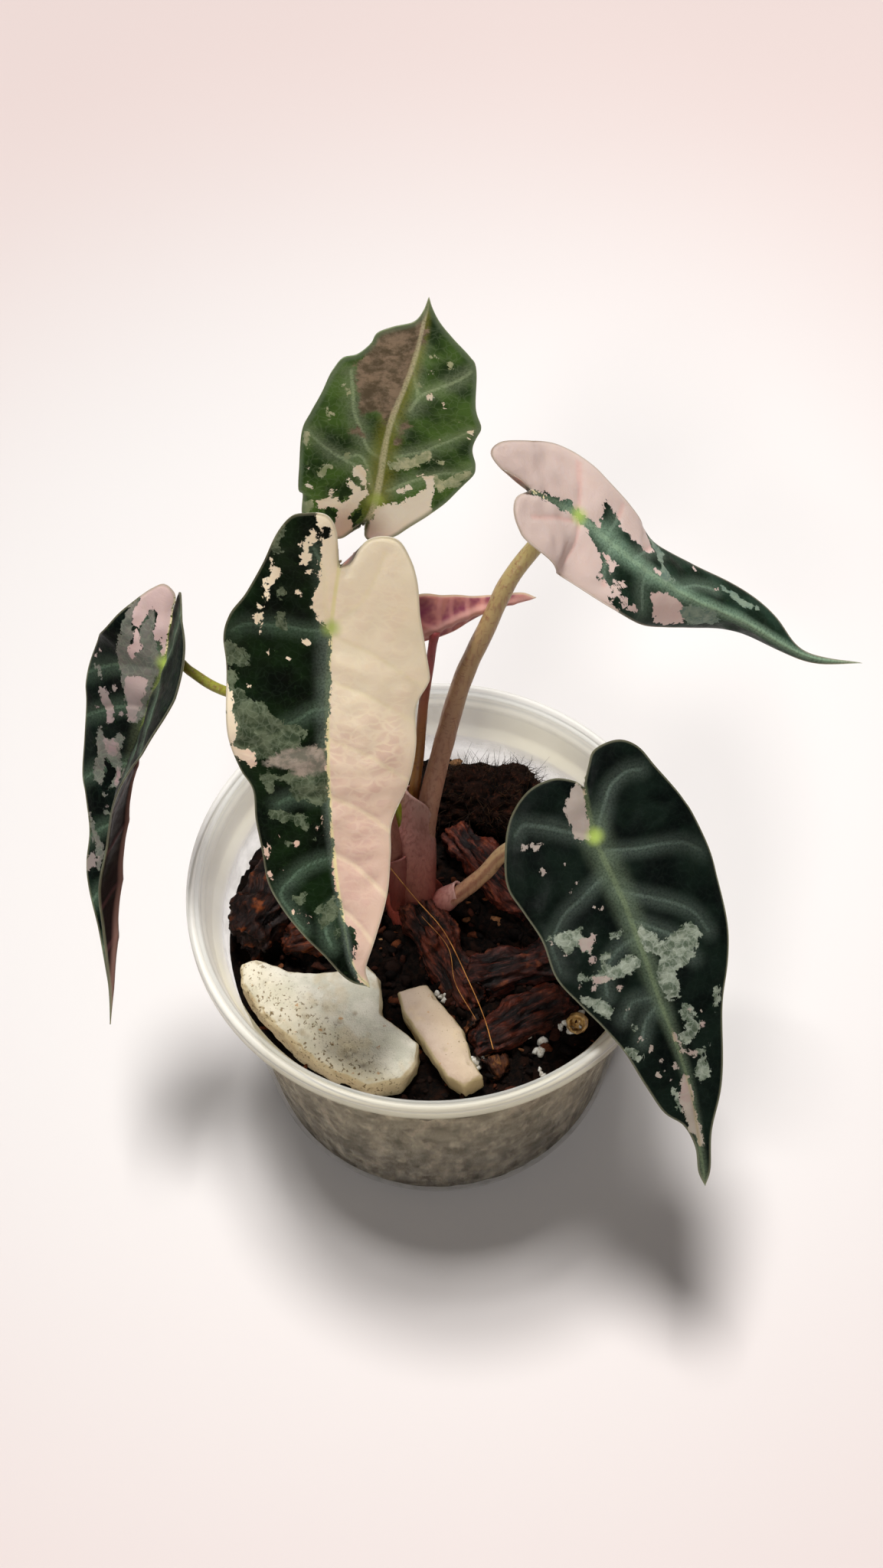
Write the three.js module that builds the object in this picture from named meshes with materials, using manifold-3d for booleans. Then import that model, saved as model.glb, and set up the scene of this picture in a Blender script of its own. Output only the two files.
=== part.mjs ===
// A young foliage plant with six arrow-shaped leaves on long stalks. It grows from one short crown in a thin
// see-through plastic cup, filled with soil that carries bark, coir and pumice. Sizes are in millimetres, and
// +Z is up. The origin is the centre of the cup's flat underside; seen from the front, +X is right and +Y is
// back.
import * as THREE from "three";
import { mergeVertices } from "three/addons/utils/BufferGeometryUtils.js";
import Module from "manifold-3d";

const wasm = await Module();
wasm.setup();

// Driving sizes of the cup
const CUP_HEIGHT = 80;
const RIM_RADIUS = 58.5;
const LEDGE_RADIUS = 54.6;
const LEDGE_HEIGHT = 68;
const WAIST_RADIUS = 52.3;
const BASE_RADIUS = 46;
const CUP_WALL = 1;
const CUP_FACETS = 60;

// Driving sizes of what the cup holds
const SOIL_LEVEL = 57.5;
const SOIL_RINGS = 9;
const SOIL_SECTORS = 36;
const MOUND_HEIGHT = 2;
const MOUND_RADIUS = 17;
const LUMP_HEIGHT = 0.9;
const LUMP_LENGTHS = [20, 23, 9];
const GAP = 0.35;
const CROWN = new THREE.Vector3(-4.3, 6.5, 58);

// Driving sizes of the leaves
const BLADE_THICKNESS = 0.8;
const BLADE_ROWS = 26;
const HALF_BLADE_COLUMNS = 3;
const CURL_WIDTH = 20;
const WAVE_LAG = 1.9;
const CURVE_STEPS = 40;
const STALK_SIDES = 8;
const STALK_STEPS = 14;
const SHEATH_STEPS = 6;
const STALK_APPROACH = 4;

// Each leaf is given by what follows. spine: points of the midrib in space, from the notch between the lobes,
// through the one where the stalk meets the blade, to the tip. face: the way the upper face looks, at the
// stalk and at the tip. For each half, port being on the left when one looks from the stalk to the tip with
// the upper face up: fold, the degrees by which the half rises from the midrib, from the stalk to the tip;
// curl, the degrees it bends further over CURL_WIDTH; and outline, the points [across, along] from the notch
// round the lobe and down the margin to the tip. wave: the margin's height, wavelength and phase. stalk: the
// route from the crown; the radius at the crown, where the stalk leaves its sheath and at the blade; the
// length that the sheath covers; and arrival, the way it meets a blade that it doesn't meet squarely.
const LEAVES = {
  top: {
    spine: [[-12.4, 38, 163], [-9.3, 39.1, 171], [-5.9, 40.7, 190], [-0.4, 38.9, 210], [2.9, 39.3, 226]],
    face: [[0, -0.9, 0.4], [0, -0.97, 0.2]],
    wave: [0.9, 17, 0.5],
    port: {
      fold: [8, 10, 10, 8],
      curl: [-5, -20, -10, 0],
      outline: [
        [0, -6.9], [1.7, -9.7], [3.9, -12.9], [8.7, -12.9], [13.6, -8.6], [16.2, -0.4], [16.9, 8.7],
        [17.1, 16.4], [16.1, 20.8], [15, 26.3], [14.7, 34.4], [13.7, 39.2], [11.1, 40.9], [9.1, 44.1],
        [8.3, 47.1], [5.5, 49], [1.9, 50.4], [0.5, 53], [0, 56.6],
      ],
    },
    starboard: {
      fold: [8, 10, 10, 8],
      curl: [-5, -15, -10, 0],
      outline: [
        [0, -6.9], [1, -10.6], [3.5, -10.7], [6.1, -7.9], [8.3, -4], [11.5, -0.2], [15.1, 3.8], [18.6, 9.9],
        [18.8, 14.2], [17.4, 19.2], [17.4, 27.5], [14.4, 34], [11.9, 42.6], [10.1, 45.1], [6.2, 48.3],
        [3.2, 51.1], [1.2, 54], [0, 56.6],
      ],
    },
    stalk: {
      route: [[-7.5, 10.5, 60], [-8.2, 18.5, 76], [-9, 27, 100], [-10, 35, 128], [-10.3, 41.5, 152],
        [-10, 44.5, 163]],
      radii: [2.4, 1.9, 1.3],
      sheath: 22,
    },
  },
  front: {
    spine: [[-15.7, 15, 183], [-18.8, 10.1, 165], [-20.9, -1.1, 143], [-21.1, -14.5, 119],
      [-18.4, -30.5, 100], [-14.5, -35, 94]],
    face: [[0, -0.5, 0.85], [0, -0.6, 0.8]],
    wave: [0.7, 24, 0],
    port: {
      fold: [6, 6, 10, 15],
      curl: [-15, -25, -25, 0],
      outline: [
        [0, -15.2], [2.1, -16.8], [3.6, -21.1], [5.8, -23.8], [9.5, -24.7], [12.3, -22.8], [15.9, -15.7],
        [17.7, -5.8], [19.6, 2.9], [20.9, 9.6], [20.5, 12.5], [18.4, 18.3], [18.7, 27.5], [17, 37.3],
        [13.1, 46.4], [12.3, 54], [10.5, 63.8], [6.7, 73.1], [2.2, 81.5], [0, 86],
      ],
    },
    starboard: {
      fold: [10, 14, 14, 15],
      curl: [-15, -25, -25, 0],
      outline: [
        [0, -15.2], [0.6, -18.2], [1.4, -23.1], [2.7, -26], [4.6, -27.2], [7.7, -26.8], [10.7, -25.4],
        [13.3, -20.2], [15.3, -11.9], [17.8, -5.4], [20.8, -0.8], [21.9, 4.3], [21.2, 11.4], [21, 24.2],
        [18.8, 32.4], [16.2, 37.2], [16, 43.5], [15.3, 50.6], [14.9, 57.8], [12.8, 63.4], [9.1, 70.1],
        [5.4, 75.8], [2.6, 81.4], [0, 86],
      ],
    },
    stalk: {
      route: [[-7.6, 4.8, 60], [-8.7, 8.8, 74], [-10, 12, 86], [-13, 16.5, 110], [-16.8, 19, 138],
        [-18.6, 16.8, 156]],
      radii: [2.8, 2.2, 1.6],
      sheath: 16,
    },
  },
  left: {
    spine: [[-55.5, 37.8, 138], [-58.6, 30.3, 128], [-64.5, 24.5, 114], [-70.3, 15.3, 97], [-75.1, -1.3, 76],
      [-78, -24, 58]],
    face: [[-0.25, -0.5, 0.8], [-0.35, -0.5, 0.7]],
    wave: [0.6, 26, 1],
    port: {
      fold: [55, 68, 82, 95, 108, 102],
      curl: [-10, -10, -10, -10, 0],
      outline: [
        [0, -12.3], [0.9, -16.1], [3.3, -17.7], [6, -16], [9.2, -12.7], [13.6, -7.8], [17, -0.5], [18.5, 5.7],
        [18.7, 12.9], [16.2, 20.1], [14.5, 27.4], [12.9, 35.1], [10.8, 39.9], [8.6, 47.4], [8.5, 55.3],
        [7.3, 60.9], [4.2, 69.7], [1.8, 79.7], [0.8, 84.8], [0, 92.9],
      ],
    },
    starboard: {
      fold: [4, 4, 8, 12, 20, 10],
      curl: [-10, -20, -20, -10, 0],
      outline: [
        [0, -12.3], [0.7, -16.1], [3.3, -17.7], [6, -16], [9.2, -12.7], [13.6, -7.8], [17, -0.5], [18.5, 5.7],
        [18.7, 12.9], [16.2, 20.1], [14.5, 27.4], [12.9, 35.1], [10.8, 39.9], [8.6, 47.4], [8.5, 55.3],
        [7.3, 60.9], [4.2, 69.7], [1.8, 79.7], [0.8, 84.8], [0, 92.9],
      ],
    },
    stalk: {
      route: [[-6.6, 8.2, 60], [-6.9, 12.2, 74], [-8.3, 16.5, 86], [-16, 22.5, 101], [-30, 27.5, 113],
        [-45.6, 27.6, 120.3], [-53, 30.4, 124.2]],
      radii: [2.1, 1.6, 1.1],
      sheath: 30,
    },
  },
  right: {
    spine: [[22.3, 36.7, 175], [33, 37.9, 165], [45.3, 32.2, 156], [57.2, 29.6, 147], [69.6, 27.9, 140],
      [83.7, 23.3, 133], [96.2, 22.4, 131]],
    face: [[0.1, -0.25, 0.95], [0.2, -0.4, 0.9]],
    wave: [0.4, 30, 0],
    port: {
      fold: [0, -26, -20, -14, -10],
      curl: [-8, -12, -12, 0],
      outline: [
        [0, -14.3], [1.3, -17.8], [1.6, -22.7], [3.7, -25.9], [7.1, -23.8], [10.2, -18], [13.9, -8.6],
        [14.1, -3.8], [11.9, 2.5], [11.9, 8.2], [12.7, 16.3], [11.5, 21.4], [11.4, 27.3], [10.8, 33.5],
        [9.9, 40.2], [8.2, 46.4], [5.7, 52.9], [1.6, 59.5], [0.7, 66.8], [0, 75],
      ],
    },
    starboard: {
      fold: [0, -4, -70, -90, -20],
      curl: [-8, -20, -20, 0],
      outline: [
        [0, -14.3], [2.6, -17.6], [5.4, -18.3], [8.4, -17], [11.5, -13.3], [13.4, -7], [13.8, -0.2],
        [12.5, 10], [11.3, 18], [10.3, 25], [9.5, 32], [9, 39.7], [7.6, 46.3], [5.7, 52.9], [2.6, 59.5],
        [1, 66.8], [0, 75],
      ],
    },
    stalk: {
      route: [[-4.3, 5.2, 60], [-3.4, 8.5, 70], [-1, 17, 84], [2.9, 23.5, 100], [8, 30, 118.5],
        [14, 34.5, 133], [18.6, 38.6, 143], [24.2, 42.1, 150], [29, 42, 157.5]],
      radii: [4.6, 2.8, 1.8],
      sheath: 23,
    },
  },
  low: {
    spine: [[33, 3.4, 122], [35.9, -8.6, 112], [42.1, -20.7, 103], [49.5, -38.5, 90], [55.8, -52.8, 76],
      [59.1, -70.2, 61]],
    face: [[0.1, -0.5, 0.85], [0.1, -0.5, 0.85]],
    wave: [0.7, 30, 0.8],
    port: {
      fold: [8, 8, 10, 15],
      curl: [-20, -25, -20, 0],
      outline: [
        [0, -11.1], [1.8, -15.5], [3.8, -18.7], [8.8, -19.8], [12.7, -18.1], [15.9, -13.8], [21.4, -3.8],
        [23.2, 11.4], [22.6, 18.9], [21, 27.7], [18.2, 35.2], [12.4, 47.1], [7.1, 61.8], [3.3, 71],
        [1.8, 79.8], [0, 83.8],
      ],
    },
    starboard: {
      fold: [8, 8, 10, 15],
      curl: [-20, -25, -20, 0],
      outline: [
        [0, -11.1], [1.9, -12.9], [6.5, -14.4], [12.1, -12.9], [17.2, -7.9], [20.6, -1.2], [22.1, 3.1],
        [21.2, 8], [20.1, 17.5], [20.2, 26.4], [17.1, 33.9], [13.9, 40.5], [11.6, 46.7], [9.8, 56.1],
        [7.2, 64.4], [3, 69], [1, 74.6], [1.1, 80.1], [0, 83.8],
      ],
    },
    stalk: {
      route: [[-1.2, 4.6, 59], [6, 3.4, 68], [12.2, 3.5, 77], [17, 4.3, 85.2], [26.5, 2.2, 98.5],
        [33, -2.8, 105.5]],
      radii: [2.8, 2.1, 1.6],
      sheath: 12,
    },
  },
  back: {
    spine: [[-1.8, 29.1, 137], [2.3, 29.9, 138], [7.6, 33.6, 137], [13.7, 38, 134.5], [25.3, 44.4, 130]],
    face: [[-0.1, 0.9, -0.35], [-0.1, 0.9, -0.3]],
    wave: [0.4, 16, 0],
    port: {
      fold: [48, 24, 42, 50],
      curl: [0, 0, 0, 0],
      outline: [
        [0, -4], [1, -7], [3.5, -8.5], [6.5, -7.5], [8.8, -4], [9.3, -0.8], [6.7, 3.5], [4.9, 8], [3.5, 11.9],
        [2.5, 18.3], [1.8, 24.7], [0, 28.5],
      ],
    },
    starboard: {
      fold: [6, 28, 32, 15],
      curl: [-10, -10, -10, 0],
      outline: [
        [0, -4], [1, -7], [3.5, -8.5], [6.5, -7.5], [8.8, -4], [9.3, -0.8], [6.7, 3.5], [4.9, 8], [3.5, 11.9],
        [2.5, 18.3], [1.8, 24.7], [0, 28.5],
      ],
    },
    stalk: {
      route: [[-4.6, 9.6, 60], [-6, 15.5, 78], [-3.7, 20.5, 90], [-2.2, 24.8, 101], [-0.9, 26.2, 116],
        [0.6, 26.6, 128]],
      radii: [1.8, 1.4, 1],
      sheath: 34,
      arrival: [0.2, 0.5, 0.85],
    },
  },
};

// Stones: outline [x, y] seen from above, height of the top, thickness, edge rounding and tilt in degrees
const STONES = {
  pumice_large: {
    outline: [
      [-46.8, -12.8], [-43, -11.4], [-35.1, -14.5], [-24, -15.4], [-16.4, -13.6], [-13, -17], [-12.8, -26.5],
      [-8.8, -30.1], [-4, -34], [-4.5, -39.2], [-8.5, -43.8], [-16.5, -45.2], [-24.5, -41.5], [-32.8, -35],
      [-41.5, -26], [-46.2, -18.6],
    ],
    top: 66,
    thickness: 10,
    rounding: 2.4,
    tilt: [3, 2],
    color: "#cfc9b8",
  },
  pumice_small: {
    outline: [
      [-9.6, -20.6], [-2.2, -19.2], [2.2, -25.8], [6.2, -31.1], [7.8, -38.6], [10.2, -43.4], [5.6, -46],
      [1.6, -43.5], [-3, -35.5], [-8.4, -26],
    ],
    top: 65.5,
    thickness: 9,
    rounding: 1.8,
    tilt: [2, -3],
    color: "#d9cdbd",
  },
};

// Bark and coir: centre, turn about X, Y and Z in degrees, size, and the seed of the faces
const CHIPS = {
  coir_chunk: { at: [13.5, 33.5, 62], turn: [4, -6, -12], size: [29, 19, 20], seed: 3, color: "#2a1812" },
  bark_left: { at: [-38.5, 8.5, 62], turn: [8, 12, 68], size: [34, 15, 15], seed: 11, color: "#3a1a10" },
  bark_left_front: { at: [-26, 0.5, 60], turn: [-6, 4, 10], size: [26, 15, 10], seed: 12, color: "#5a2712" },
  bark_centre: { at: [2.2, -9, 60], turn: [0, 16, -62], size: [30, 12, 10], seed: 13, color: "#6b3418" },
  bark_right_back: { at: [14, 13.5, 61.5], turn: [6, 8, -52], size: [29, 10, 10], seed: 14, color: "#6e2f18" },
  bark_right: { at: [28.5, 8, 61], turn: [-4, 10, -34], size: [27, 11, 10], seed: 15, color: "#7a3a1a" },
  bark_right_front: { at: [22, -12, 60], turn: [10, -3, 14], size: [36, 11, 9], seed: 16, color: "#4a1d12" },
  bark_front: { at: [20, -26.5, 59.5], turn: [-8, 2, 28], size: [27, 11, 8], seed: 17, color: "#5c2114" },
  bark_between: { at: [11.5, -33, 58.5], turn: [6, 6, -68], size: [17, 7, 7], seed: 18, color: "#6b3a1e" },
};

// How rough a chip is: rings along it, corners of a ring, the size of its ends, the least and further share
// of the full size in a ring and at a corner, and how far rings stray along, sideways and in slant
const CHIP_FORM = {
  stations: 6,
  sides: 8,
  ends: 0.62,
  girth: [0.86, 0.2],
  corner: [0.95, 0.26],
  stray: 0.08,
  bend: 0.14,
  slant: 0.1,
};

// The shell of a spent fertiliser grain: its mouth is the half angle of the opening, in degrees
const PRILL = { at: [33, -28.5, 60.5], radius: 2.7, wall: 0.7, mouth: 55, tilt: [38, -12, 0] };
const PRILL_STEPS = 5;
const PRILL_SIDES = 10;

// Perlite in the soil: clusters [x, y, count, spread], least and most radius, and how high a grain stands out
const GRAINS = {
  clusters: [[11.5, -43.5, 6, 3.4], [26, -36, 5, 5], [36, -18, 5, 4], [-30, 30, 4, 9]],
  radius: [0.9, 1.7],
  rise: 0.3,
};

const degrees = THREE.MathUtils.degToRad;

// The same random numbers each time for one seed
function seeded(seed) {
  let state = seed * 7919 + 17;
  return () => {
    state = (state * 16807) % 2147483647;
    return state / 2147483647;
  };
}

// Booleans: a geometry as a solid, and a solid as a geometry
function solidOf(geometry) {
  const bare = geometry.index ? geometry.toNonIndexed() : geometry.clone();
  bare.deleteAttribute("normal");
  bare.deleteAttribute("uv");
  const merged = mergeVertices(bare, 1e-3);
  const corners = merged.index.array;
  const kept = [];
  for (let i = 0; i < corners.length; i += 3) {
    const [a, b, c] = [corners[i], corners[i + 1], corners[i + 2]];
    if (a !== b && b !== c && c !== a) kept.push(a, b, c);
  }
  return new wasm.Manifold(
    new wasm.Mesh({
      numProp: 3,
      vertProperties: merged.attributes.position.array,
      triVerts: new Uint32Array(kept),
    }),
  );
}

function geometryOf(solid) {
  const mesh = solid.getMesh();
  const geometry = new THREE.BufferGeometry();
  geometry.setAttribute("position", new THREE.BufferAttribute(new Float32Array(mesh.vertProperties), 3));
  geometry.setIndex(new THREE.BufferAttribute(new Uint32Array(mesh.triVerts), 1));
  return geometry;
}

// A cut can leave loose scraps, and only the largest body is kept
function largestBody(solid) {
  return solid.decompose().reduce((best, body) => (body.volume() > best.volume() ? body : best));
}

// A smooth curve through points, uniform in its parameter
function splineThrough(points) {
  const curve = new THREE.CatmullRomCurve3(
    points.map(([x, y, z = 0]) => new THREE.Vector3(x, y, z)),
    false,
    "catmullrom",
    0.5,
  );
  curve.arcLengthDivisions = CURVE_STEPS * (points.length - 1);
  return curve;
}

// A value between evenly spaced knots, smoothly
function between(knots, k) {
  return splineThrough(knots.map((v) => [v, 0])).getPoint(THREE.MathUtils.clamp(k, 0, 1)).x;
}

// The leaf's own frame at a distance from the stalk: the point of the midrib, and the ways forward, up and to
// port
function midribFrames(leaf) {
  const curve = splineThrough(leaf.spine);
  const lengths = curve.getLengths();
  const total = lengths.at(-1);
  const behind = lengths[CURVE_STEPS];
  const length = total - behind;
  const ends = leaf.face.map((way) => new THREE.Vector3(...way));
  return (along) => {
    const u = THREE.MathUtils.clamp((along + behind) / total, 0, 1);
    const forward = curve.getTangentAt(u);
    const beyond = along + behind - u * total;
    const point = curve.getPointAt(u).addScaledVector(forward, beyond);
    const up = ends[0].clone().lerp(ends[1], THREE.MathUtils.clamp(along / length, 0, 1));
    up.addScaledVector(forward, -up.dot(forward)).normalize();
    const port = up.clone().cross(forward);
    return { point, forward, up, port, share: THREE.MathUtils.clamp(along / length, 0, 1) };
  };
}

// A point of the folded, curled and waved half blade
function bladePoint(leaf, side, frame, across) {
  const half = side > 0 ? leaf.port : leaf.starboard;
  const fold = degrees(between(half.fold, frame.share));
  const curl = degrees(between(half.curl, frame.share)) / CURL_WIDTH || 1e-6;
  const out = (Math.sin(fold + curl * across) - Math.sin(fold)) / curl;
  const rise = (Math.cos(fold) - Math.cos(fold + curl * across)) / curl;
  const [height, wavelength, phase] = leaf.wave;
  const turn = (2 * Math.PI * frame.along) / wavelength + phase + (side > 0 ? 0 : WAVE_LAG);
  const ripple = height * Math.sin(turn) * (across / CURL_WIDTH) ** 2;
  return frame.point.clone().addScaledVector(frame.port, side * out).addScaledVector(frame.up, rise + ripple);
}

// Rows of points from the starboard margin over the midrib to the port margin, from the notch to the tip
function bladeGrid(leaf) {
  const frameAt = midribFrames(leaf);
  const notch = leaf.port.outline[0][1];
  const tip = leaf.port.outline.at(-1)[1];
  const margins = [leaf.starboard, leaf.port].map((half) =>
    splineThrough(half.outline).getSpacedPoints(BLADE_ROWS),
  );
  const grid = [];
  for (let row = 0; row <= BLADE_ROWS; row++) {
    const rib = notch + (tip - notch) * (row / BLADE_ROWS) ** 2;
    const points = [];
    for (let column = -HALF_BLADE_COLUMNS; column <= HALF_BLADE_COLUMNS; column++) {
      const side = column < 0 ? -1 : 1;
      const share = Math.abs(column) / HALF_BLADE_COLUMNS;
      const edge = margins[column < 0 ? 0 : 1][row];
      const along = rib + (edge.y - rib) * share;
      const frame = { ...frameAt(along), along };
      points.push(bladePoint(leaf, side, frame, edge.x * share));
    }
    grid.push(points);
  }
  return grid;
}

// The way out of the upper face at each point of a grid. The first and last rows are one point each.
function gridNormals(grid) {
  const normals = grid.map((row) => row.map(() => new THREE.Vector3()));
  const add = (corners) => {
    const [a, b, c] = corners.map(([r, k]) => grid[r][k]);
    const way = b.clone().sub(a).cross(c.clone().sub(a));
    corners.forEach(([r, k]) => normals[r][k].add(way));
  };
  for (let r = 0; r + 1 < grid.length; r++) {
    for (let k = 0; k + 1 < grid[r].length; k++) {
      add([[r, k], [r, k + 1], [r + 1, k + 1]]);
      add([[r, k], [r + 1, k + 1], [r + 1, k]]);
    }
  }
  for (const row of [normals[0], normals.at(-1)]) {
    const sum = row.reduce((total, way) => total.add(way), new THREE.Vector3());
    row.forEach((way) => way.copy(sum));
  }
  normals.flat().forEach((way) => way.normalize().negate());
  return normals;
}

// The closed blade, thicker by grow on both faces
function bladeGeometry(leaf, grow = 0) {
  const grid = bladeGrid(leaf);
  const normals = gridNormals(grid);
  const face = (offset) =>
    grid.map((row, r) => row.map((point, k) => point.clone().addScaledVector(normals[r][k], offset)));
  const upper = face(BLADE_THICKNESS / 2 + grow);
  const lower = face(-BLADE_THICKNESS / 2 - grow);
  const corners = [];
  const quad = (a, b, c, d) => corners.push(a, b, c, a, c, d);
  const last = grid[0].length - 1;
  for (let r = 0; r < BLADE_ROWS; r++) {
    for (let k = 0; k < last; k++) {
      quad(upper[r][k], upper[r + 1][k], upper[r + 1][k + 1], upper[r][k + 1]);
      quad(lower[r][k + 1], lower[r + 1][k + 1], lower[r + 1][k], lower[r][k]);
    }
    quad(upper[r][last], upper[r + 1][last], lower[r + 1][last], lower[r][last]);
    quad(lower[r][0], lower[r + 1][0], upper[r + 1][0], upper[r][0]);
  }
  return new THREE.BufferGeometry().setFromPoints(corners);
}

// The stalk's whole route: from the crown up to the midrib, which it meets square to both halves of the blade
// unless an arrival is given
function stalkRoute(leaf) {
  const { point, up, port } = midribFrames(leaf)(0);
  const lean = degrees((leaf.port.fold[0] - leaf.starboard.fold[0]) / 2);
  const square = up.multiplyScalar(Math.cos(lean)).addScaledVector(port, -Math.sin(lean));
  const way = leaf.stalk.arrival ? new THREE.Vector3(...leaf.stalk.arrival).normalize() : square;
  const before = point.clone().addScaledVector(way, -STALK_APPROACH);
  return splineThrough([...leaf.stalk.route, before.toArray(), point.toArray()]);
}

// A closed tube of changing radius along part of a curve
function tubeGeometry(curve, from, to, radiusAt, steps) {
  const samples = Array.from({ length: steps + 1 }, (_, i) =>
    curve.getPointAt(from + ((to - from) * i) / steps).toArray(),
  );
  const stretch = splineThrough(samples);
  const frames = stretch.computeFrenetFrames(steps);
  const rings = samples.map((sample, i) =>
    Array.from({ length: STALK_SIDES }, (_, j) => {
      const angle = (2 * Math.PI * j) / STALK_SIDES;
      const radius = radiusAt(from + ((to - from) * i) / steps);
      return new THREE.Vector3(...sample)
        .addScaledVector(frames.normals[i], radius * Math.cos(angle))
        .addScaledVector(frames.binormals[i], radius * Math.sin(angle));
    }),
  );
  return loftGeometry(rings);
}

// A closed solid through rings of equal count, with a flat fan at each end
function loftGeometry(rings) {
  const corners = [];
  const count = rings[0].length;
  const centre = (ring) => ring.reduce((sum, p) => sum.add(p), new THREE.Vector3()).divideScalar(count);
  const [first, last] = [centre(rings[0]), centre(rings.at(-1))];
  for (let j = 0; j < count; j++) {
    const next = (j + 1) % count;
    for (let i = 0; i + 1 < rings.length; i++) {
      const [a, b, c, d] = [rings[i][j], rings[i][next], rings[i + 1][next], rings[i + 1][j]];
      corners.push(a, b, c, a, c, d);
    }
    corners.push(first, rings[0][next], rings[0][j]);
    corners.push(last, rings.at(-1)[j], rings.at(-1)[next]);
  }
  return new THREE.BufferGeometry().setFromPoints(corners);
}

// The stalk above its sheath, and the sheath that stays on the crown
function stalkParts(leaf, grow = 0) {
  const route = stalkRoute(leaf);
  const total = route.getLength();
  const leaves = leaf.stalk.sheath / total;
  const [foot, middle, top] = leaf.stalk.radii;
  const radiusAt = (u) => {
    const low = u <= leaves;
    const share = low ? u / leaves : (u - leaves) / (1 - leaves);
    return (low ? foot + (middle - foot) * share : middle + (top - middle) * share) + grow;
  };
  return {
    stalk: () => tubeGeometry(route, leaves + GAP / total, 1, radiusAt, STALK_STEPS),
    sheath: () => tubeGeometry(route, 0, leaves, radiusAt, SHEATH_STEPS),
  };
}

// The stalk, its end cut to the underside of the blade with a small gap between
function stalkSolid(leaf) {
  const tube = solidOf(stalkParts(leaf).stalk());
  return largestBody(tube.subtract(solidOf(bladeGeometry(leaf, GAP))));
}

// The short thick stem in the soil, with the sheaths of all leaves
function crownSolid(grow = 0) {
  const profile = [[0, -16], [4.5, -15], [7, -9], [8, -3], [7.4, 2], [5, 5], [0, 6]];
  const points = profile.map(([r, z]) => new THREE.Vector2(r ? r + grow : 0, z + Math.sign(z) * grow));
  const stem = new THREE.LatheGeometry(points, 12).rotateX(Math.PI / 2).translate(CROWN.x, CROWN.y, CROWN.z);
  let solid = solidOf(stem);
  for (const leaf of Object.values(LEAVES)) solid = solid.add(solidOf(stalkParts(leaf, grow).sheath()));
  return largestBody(solid);
}

// A rough block: rings of a box-like section whose size changes at random along its length
function chipSolid({ at, turn, size, seed }, grow = 0) {
  const random = seeded(seed);
  const [length, width, height] = size;
  const { stations, sides, ends, girth, corner, stray, bend, slant: lean } = CHIP_FORM;
  const rings = [];
  for (let i = 0; i <= stations; i++) {
    const share = i / stations;
    const end = i === 0 || i === stations;
    const taper = (end ? ends : 1) * (girth[0] + girth[1] * random());
    const x = (share - 0.5) * length + (end ? 0 : (random() - 0.5) * stray * length);
    const shift = (random() - 0.5) * bend;
    const ring = [];
    for (let j = 0; j < sides; j++) {
      const angle = (2 * Math.PI * (j + 0.5)) / sides;
      const bulge = taper * (corner[0] + corner[1] * random());
      const slant = end ? (random() - 0.5) * lean * length : 0;
      const y = Math.cos(angle) * ((width / 2) * bulge + grow) + shift * width;
      const z = Math.sin(angle) * ((height / 2) * bulge + grow) + shift * height;
      ring.push(new THREE.Vector3(x + slant + grow * Math.sign(share - 0.5), y, z));
    }
    rings.push(ring);
  }
  const geometry = loftGeometry(rings);
  geometry.applyMatrix4(
    new THREE.Matrix4()
      .makeRotationFromEuler(new THREE.Euler(...turn.map(degrees), "ZYX"))
      .setPosition(...at),
  );
  return solidOf(geometry);
}

// A flat stone with rounded edges
function stoneSolid({ outline, top, thickness, rounding, tilt }, grow = 0) {
  const middle = outline.reduce(([a, b], [x, y]) => [a + x / outline.length, b + y / outline.length], [0, 0]);
  const shape = new THREE.Shape(outline.map(([x, y]) => new THREE.Vector2(x - middle[0], y - middle[1])));
  const geometry = new THREE.ExtrudeGeometry(shape, {
    depth: thickness - 2 * rounding,
    bevelThickness: rounding + grow,
    bevelSize: rounding,
    bevelOffset: grow - rounding,
    bevelSegments: 2,
    steps: 1,
  });
  geometry.translate(0, 0, rounding - thickness);
  geometry.rotateX(degrees(tilt[0])).rotateY(degrees(tilt[1]));
  geometry.translate(middle[0], middle[1], top);
  return solidOf(geometry);
}

// The grain's shell with its mouth open. Grown, it is filled up to the mouth.
function prillSolid(grow = 0) {
  const { at, radius, wall, mouth, tilt } = PRILL;
  const arc = (r) =>
    Array.from({ length: PRILL_STEPS + 1 }, (_, i) => {
      const angle = degrees(mouth + ((180 - mouth) * i) / PRILL_STEPS);
      return new THREE.Vector2(i === PRILL_STEPS ? 0 : r * Math.sin(angle), r * Math.cos(angle));
    });
  const lid = new THREE.Vector2(0, (radius + grow) * Math.cos(degrees(mouth)));
  const inside = grow ? [lid] : arc(radius - wall);
  const profile = [...arc(radius + grow).reverse(), ...inside];
  const geometry = new THREE.LatheGeometry(profile, PRILL_SIDES).rotateX(Math.PI / 2);
  geometry.applyMatrix4(
    new THREE.Matrix4().makeRotationFromEuler(new THREE.Euler(...tilt.map(degrees))).setPosition(...at),
  );
  return solidOf(geometry);
}

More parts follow.
